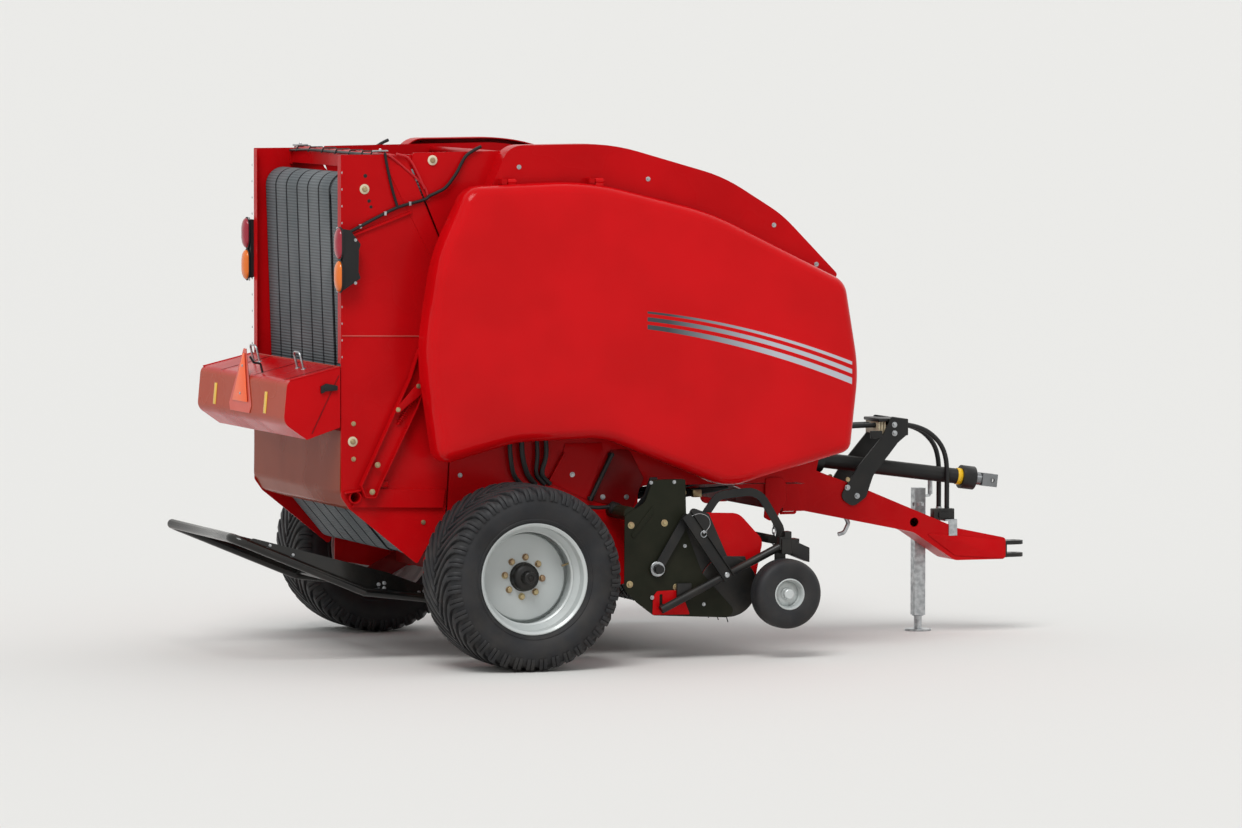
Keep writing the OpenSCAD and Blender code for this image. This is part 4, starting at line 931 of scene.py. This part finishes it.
strips = [slab([(-1171.6 + 0.0893 * (z - 1310), y + half, z)
    for half, z in ((-24, 1345), (24, 1345), (24, 1462), (-24, 1462))], (-1.2, 0, 0), 0.4)
    for y in (485, -446)]
done(strips, "reflector_strips", "net_cover", yellow_film)
slope = math.tan(math.radians(5.1))
middle = [(-1176.8 + slope * z, y, 1330 + z)
    for y, z in ((-138, 58), (138, 58), (14, 318), (-14, 318))]
done([slab(middle, (-1.0, 0, 0), 0.3)], "triangle_middle", "net_cover", orange_film)
fixings(bolts([(-1176.9 + slope * z, 0, 1330 + z) for z in (100, 250)], (-1, 0, 0), 12, 4),
    "triangle_screws", "net_cover", zinc_plate, both=False)


# Fairings and what shows under the shields

screws = [(120, -920, 2675), (860, -920, 2604), (1591, -920, 2347), (1840, -920, 2130)]
fixings(bolts(screws, across=15, high=5, washer=13), "fairing_screws", "frame", zinc_plate)
# Outer face of the front frame's right wall
SIDE = -789
under = [pipe(flowing([(a - 20, -806, 1400), (a - 6, -812, 1250), (a, -816, 1115), (b, -812, 1010),
    (b + 50, -803, 950)]), r) for a, b, r in ((107, 128, 13), (176, 206, 15), (262, 258, 12),
    (312, 290, 14))]
twins(under, "side_hoses", "frame", hose_cover)
panel = plate([(328, 963, 4), (558, 860, 4), (650, 1119, 4), (640, 1170, 4), (430, 1170, 4),
    (416, 1124, 4)], SIDE, (0, -6, 0), 1.5)
fold = slab([(326, SIDE, 962), (418, SIDE, 1124), (424, SIDE, 1121), (332, SIDE, 959)], (0, -26, 0),
    1)
twins([panel, fold], "side_panel", "frame", red_enamel)
# The side plate takes the enamel with painted shade
twins([plate([(572, 860, 4), (813, 799, 10), (882, 972, 10), (800, 1130, 40), (692, 1130, 4)], SIDE,
    (0, -7, 0), 1.5)], "side_plate", "frame", shaded_red_enamel)
twins([stick((694, -812, 1112), (566, -812, 858), 13)] + [block((x - 16, -812, z - 10),
    (x + 16, SIDE, z + 10), 3) for x, z in ((690, 1104), (572, 870))], "side_strut", "frame",
    black_coat)
fixings(bolts([(645, SIDE - 7, 874), (782, SIDE - 7, 871), (470, SIDE - 6, 1000)], across=20,
    high=7) + bolts([(-171, SIDE - 0.5, 1010)], across=18, high=6), "side_bolts", "frame", zinc_plate)


# Pick-up

# Outer face of the pick-up's right end plate
PLATE = -1098
end_bolts = [(700, PLATE, 739), (892, PLATE, 747), (692, PLATE, 419), (960, PLATE, 397)]
fixings(bolts(end_bolts, across=22, high=8, washer=19), "end_plate_bolts", "pickup", yellow_zinc)
fixings(bolts([(815, PLATE, 968), (948, PLATE, 968), (1120, PLATE, 300), (1010, PLATE, 620)],
    across=14, high=5) + bolts([(819, PLATE - 6, 345), (1000, PLATE - 6, 360)], across=16, high=6),
    "end_plate_screws", "pickup", zinc_plate)
folds = [plate([(826, 981, 4), (1012, 981, 4), (1012, 973, 2), (826, 973, 2)], PLATE + 2,
    (0, 46, 0), 1.5), plate([(700, 690, 4), (828, 848, 6), (826, 800, 6), (712, 664, 6)], PLATE,
    (0, -5, 0), 2)]
twins(folds, "end_plate_folds", "pickup", charcoal_coat)
ring = turned((845, PLATE - 14, 500), (0, -1, 0), [(24, 0), (40, 0), (42, 2), (42, 10), (39, 13),
    (27, 13), (24, 10), (24, 0)], 36)
pin = turned((1225, PLATE - 74, 463), (0, -1, 0), [(0, 12), (12, 12), (15, 9), (15, 4), (23, 4),
    (24, 2), (24, 0), (0, 0)], 24)
twins([ring, pin], "pivot_rings", "pickup", zinc_plate)
red_plate = [(822, 250, 6), (826, 350, 10), (850, 379, 14), (984, 382, 22), (999, 345, 30),
    (1038, 248, 6)]
sheet = plate(red_plate, PLATE, (0, -5, 0), 1)
slot_tool = plate([(862, 300, 7), (862, 362, 7), (880, 362, 7), (880, 300, 7)], PLATE + 8,
    (0, -30, 0), 0)
twins([cut(sheet, slot_tool)], "slotted_plates", "pickup", red_enamel)
ringlet = [(1088 + 17 * math.cos(t * 0.5236), PLATE - 84, 688 + 17 * math.sin(t * 0.5236))
    for t in range(12)]
wire = flowing([(1100, PLATE - 86, 702), (1122, PLATE - 90, 740), (1108, PLATE - 92, 782),
    (1062, PLATE - 88, 800), (1018, PLATE - 84, 788)], 5)
twins([pipe(ringlet, 3, closed=True), pipe(wire, 1.8), stick((1088, PLATE - 74, 700),
    (1088, PLATE - 92, 700), 9)], "spring_pins", "pickup", zinc_plate)
# Channel that locks a gauge wheel's arm, its rear edge turned out
along = (Vector((1225, 0, 463)) - Vector((1010, 0, 770))).normalized()
across = Vector((-along.z, 0, along.x))
ends = [Vector((1010, PLATE - 73.2, 770)) - along * 30, Vector((1225, PLATE - 73.2, 463))
    + along * 26]
channel = [slab([ends[0] - across * 33, ends[1] - across * 33, ends[1] + across * 33, ends[0]
    + across * 33], (0, -5, 0), 1.5)]
for k in (-1, 1):
    channel.append(slab([ends[0] + across * k * 33, ends[1] + across * k * 33, ends[1]
        + across * k * 28, ends[0] + across * k * 28], (0, -15, 0), 1))
spine = channel + [block((1560, -1178, 566), (1600, -1120, 690), 4),
    slab([(1590, -1190, 650), (1700, -1190, 600), (1700, -1190, 520), (1600, -1190, 560)],
    (0, 84, 0), 3), stick((1556, PLATE - 50, 660), (1556, PLATE - 50, 590), 30),
    block((955, PLATE - 30, 330), (1040, PLATE - 8, 420), 6), stick((876, PLATE - 8, 291),
    (876, PLATE - 46, 291), 20)]
twins(spine, "gauge_brackets", "pickup", black_coat)
# Housing of the reel's end and the dark sheet behind the arm, over the red plate
disc = turned((1265, PLATE + 7.6, 392), (0, -1, 0), [(0, 2.6), (158, 2.6), (163, 2), (166, 0),
    (166, -3), (0, -3)], 72)
sheet = plate([(1000, 640, 10), (1050, 830, 30), (1156, 790, 10), (1262, 556, 8), (1366, 554, 8),
    (1395, 456, 8), (1265, 300, 8), (1100, 300, 10)], PLATE + 19.8, (0, -3, 0), 1)
twins([disc, sheet], "reel_housings", "pickup", black_coat)
twins([plate([(869, 985, 10), (915, 985, 10), (890, 880, 40), (806, 772, 10), (760, 800, 10),
    (835, 890, 30)], -934, (0, 12, 0), 2)], "side_strap", "pickup", black_coat)
twins([pipe(eased([(500, -860, 830), (592, -870, 822), (667, -872, 826), (700, -872, 815)], 20),
    11), turned((660, -872, 826), (0.93, 0, -0.36), [(0, -6), (20, -6), (34, 4), (36, 40), (30, 74),
    (18, 92), (14, 130), (0, 132)], 28)], "lift_boot", "frame", black_moulding)
curve = [pipe(flowing([(900 + 40 * k, -780 + 12 * k, 905), (960 + 30 * k, -760, 870),
    (1080, -740 + 10 * k, 862 + 14 * k), (1250, -730, 880 + 10 * k), (1400, -720, 905)]), 9)
    for k in range(3)]
twins(curve, "front_lines", "frame", hose_cover)
valves = [block((1000, -775, 850), (1080, -725, 905), 5), block((1180, -770, 858),
    (1230, -730, 900), 4), turned((1100, -790, 890), (0, -1, 0), [(0, 30), (20, 30), (24, 24),
    (24, 0), (0, 0)], 20)]
twins(valves, "front_fittings", "frame", yellow_zinc)
post = [(1595, 951, 6), (1621, 961, 8), (1687, 957, 8), (1710, 937, 14), (1711, 831, 10),
    (1696, 798, 10), (1678, 771, 8), (1657, 727, 8), (1616, 722, 14), (1583, 740, 14),
    (1592, 828, 10), (1591, 912, 10)]
twins([plate(post, SIDE, (0, -7, 0), 1.5)], "side_posts", "frame", red_enamel)
loop = pipe(eased([(1794, -532, 930), (1868, -532, 930), (1868, -532, 742), (1780, -532, 742)], 10),
    8)
twins([loop], "chain_loop", "frame", red_enamel)

# Chain of oval links from the red plate down to the windguard
links = []
for k in range(7):
    z = 742 - 31 * k
    oval = []
    for t in range(14):
        u = 9 * math.cos(t * 2 * math.pi / 14)
        oval.append((1745 + (u if k % 2 else 0), -528.5 + (0 if k % 2 else u), z - 4
            + 21 * math.sin(t * 2 * math.pi / 14)))
    links.append(pipe(oval, 3.4, closed=True, smooth=2))
done(links, "chain_links", "frame", zinc_plate, ["lift_chain"])


# Drawbar

# Outer face of the hose holder's right plate
TONGUE = -132
holder = bolts([(2619, TONGUE, 1191), (2620, TONGUE, 1143), (2337, TONGUE, 845),
    (2395, TONGUE, 797)], across=22, high=8, washer=16)
fixings(holder, "holder_bolts", "frame", zinc_plate)
twins([turned((2337, TONGUE, 890), (0, -1, 0), [(0, 8), (12, 8), (14, 5), (14, 0), (0, 0)], 18)],
    "holder_pins", "frame", yellow_zinc)
clamp = [block((2536 + 17 * k, -100, 1140), (2547 + 17 * k, 100, 1208), 3) for k in range(3)]
done(clamp, "clamp_bars", "frame", cream_washer)
done([block((2690, -112, 1128), (2712, 112, 1222), 6), block((2530, -116, 1208), (2600, 116, 1226),
    5), block((2470, -150, 1118), (2540, -133, 1160), 4)], "clamp_head", "frame", black_coat)
collar = turned((3062, 0, 883.7), (0.9913, 0, -0.1315), [(43.4, -18), (46, -18), (47, -16),
    (47, 16), (46, 18), (43.4, 18), (43.4, -18)], 40)
done([collar], "guard_band", "frame", yellow_film)
done([block((2864, -119, 650), (2990, -60, 712), 5), block((2890, -135, 660), (2960, -119, 694),
    4)], "drawbar_bracket", "frame", black_coat)
nose = side_outline([(2812, 578, 10), (2990, 448, 10), (3290, 424, 10), (3290, 528, 10),
    (2990, 560, 60)], -120)
twins([slab(nose, (0, -6, 0), 1.5)], "nose_plates", "frame", red_enamel)
handle = pipe(eased([(2290, -60, 690), (2350, -60, 680), (2372, -60, 640), (2345, -60, 588),
    (2310, -60, 578)], 24), 12)
done([handle], "park_lever", "frame", zinc_plate)

# Jack: crank, gear head and the inner tube's collar
jack = [turned((2900, 205, 706), (0, 0, 1), [(34, 0), (38, 2), (38, 22), (30, 30), (12, 34),
    (12, 48), (0, 48)], 28), pipe(eased([(2900, 205, 740), (2900, 205, 762), (2990, 250, 762),
    (2990, 250, 800)], 12), 8), stick((2990, 250, 770), (2990, 250, 850), 14),
    turned((2900, 205, 84), (0, 0, 1), [(22.5, 0), (30, 0), (34, 4), (34, 10), (22.5, 10),
    (22.5, 0)], 28)]
done(jack, "jack_crank", "jack", zinc_plate)

# Bale ramp: bolts of its fixing plates, on the right tube's outer face
TUBE = -612
clusters = [(x + dx, TUBE, z + dz) for x, z in ((-330, 352), (-560, 402))
    for dx, dz in ((-16, -14), (16, -8), (-16, 14), (16, 20))]
fixings(bolts(clusters, across=15, high=6), "ramp_bolts", "bale_ramp", zinc_plate)
fixings(bolts([(-1190, TUBE, 642), (-1060, TUBE, 588)], across=12, high=4), "ramp_screws",
    "bale_ramp", zinc_plate)


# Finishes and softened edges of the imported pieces

NODE_FINISH = {}
for finish, names in (  # finish, then the pieces that have it
        (red_enamel, "front_frame fairing_left fairing_right front_beams drawbar jack_socket "
                     "tailgate_walls tailgate_beams latch_arms pickup_inner_plates"),
        # Axle beam, feed rotor and net tray take the enamel with painted shade
        # Tailgate panels take the enamel with a painted reflection of the ground
        (shaded_red_enamel, "axle_beam feed_rotor net_tray"), (ground_reflection_enamel, "tailgate_panels"),
        (cover_enamel, "net_cover"), (border_film, "slow_triangle"), (black_gloss, "bale_ramp"),
        (roller_steel, "front_rollers tailgate_rollers shaft_yoke"),
        (black_coat, "gearbox hitch_clevis hose_holder pickup_guards windguard gauge_arms "
                     "tine_reel cylinder_barrel_left cylinder_barrel_right"),
        (black_moulding, "shaft_guard lamp_brackets"), (zinc_plate, "hose_couplers jack_leg"),
        (charcoal_coat, "pickup_end_plates"), (chrome, "cylinder_rod_left cylinder_rod_right")):
    NODE_FINISH.update(dict.fromkeys(names.split(), finish))
# Width of the softened edge, and where it has another
SOFT_EDGE = 1.5
EDGE_WIDTH = {"fairing_left": 7, "fairing_right": 7, "net_cover": 2, "drawbar": 4,
    "tailgate_walls": 3, "bale_ramp": 2, "gearbox": 6, "jack_leg": 4}
NO_EDGE = ("tine_reel", "front_rollers", "tailgate_rollers", "feed_rotor")
for name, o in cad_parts.items():
    if name not in NODE_FINISH:
        continue
    o.data.materials.clear()
    o.data.materials.append(NODE_FINISH[name])
    if name in NO_EDGE:
        continue
    weld = o.modifiers.new("weld", "WELD")
    weld.merge_threshold = 0.00002
    soft = o.modifiers.new("soft edge", "BEVEL")
    soft.width = EDGE_WIDTH.get(name, SOFT_EDGE) / 1000
    soft.segments = 2
    soft.limit_method = "ANGLE"
    soft.angle_limit = math.radians(38)
    soft.harden_normals = True


# Floor and light

clear()
bpy.ops.mesh.primitive_plane_add(size=3000, location=(0, 0, 0))
floor = bpy.context.object
floor.name = "floor"
ground = bpy.data.materials.new("pale studio floor")
ground.use_nodes = True
t = ground.node_tree
t.nodes.clear()
matt = add(t, "BsdfPrincipled", {"Base Color": linear("#dcdad6"), "Roughness": 0.9})
add(t, "OutputMaterial", {0: matt.outputs[0]})
floor.data.materials.append(ground)

world = bpy.data.worlds.new("studio")
bpy.context.scene.world = world
world.use_nodes = True
t = world.node_tree
t.nodes.clear()
ray = add(t, "LightPath")
seen = worked(t, "MAXIMUM", ray.outputs["Is Camera Ray"], ray.outputs["Is Transmission Ray"])
seen = worked(t, "MAXIMUM", seen, ray.outputs["Is Glossy Ray"])
up = along_axis(t, add(t, "TexCoord").outputs["Generated"], "Z")
sky = tinted(t, spread(t, up, 0.0, 0.5), "#d8d8d4", "#eef2f6")
soft = add(t, "Background", {0: sky, 1: 0.72})
plain = add(t, "Background", {0: linear("#eeedea"), 1: 1.0})
both_ways = add(t, "MixShader", {0: seen, 1: soft.outputs[0], 2: plain.outputs[0]})
add(t, "OutputWorld", {0: both_ways.outputs[0]})

for name, power, away, wide in (("key", 1.7, (-0.45, -0.75, 1.1), 0.5),
        ("fill", 0.5, (0.9, 0.5, 0.8), 1.2)):
    lamp = bpy.data.lights.new(name, "SUN")
    lamp.energy = power
    lamp.angle = wide
    sun = bpy.data.objects.new(name, lamp)
    bpy.context.collection.objects.link(sun)
    sun.rotation_mode = "QUATERNION"
    sun.rotation_quaternion = (-Vector(away)).to_track_quat("-Z", "Y")

clear()
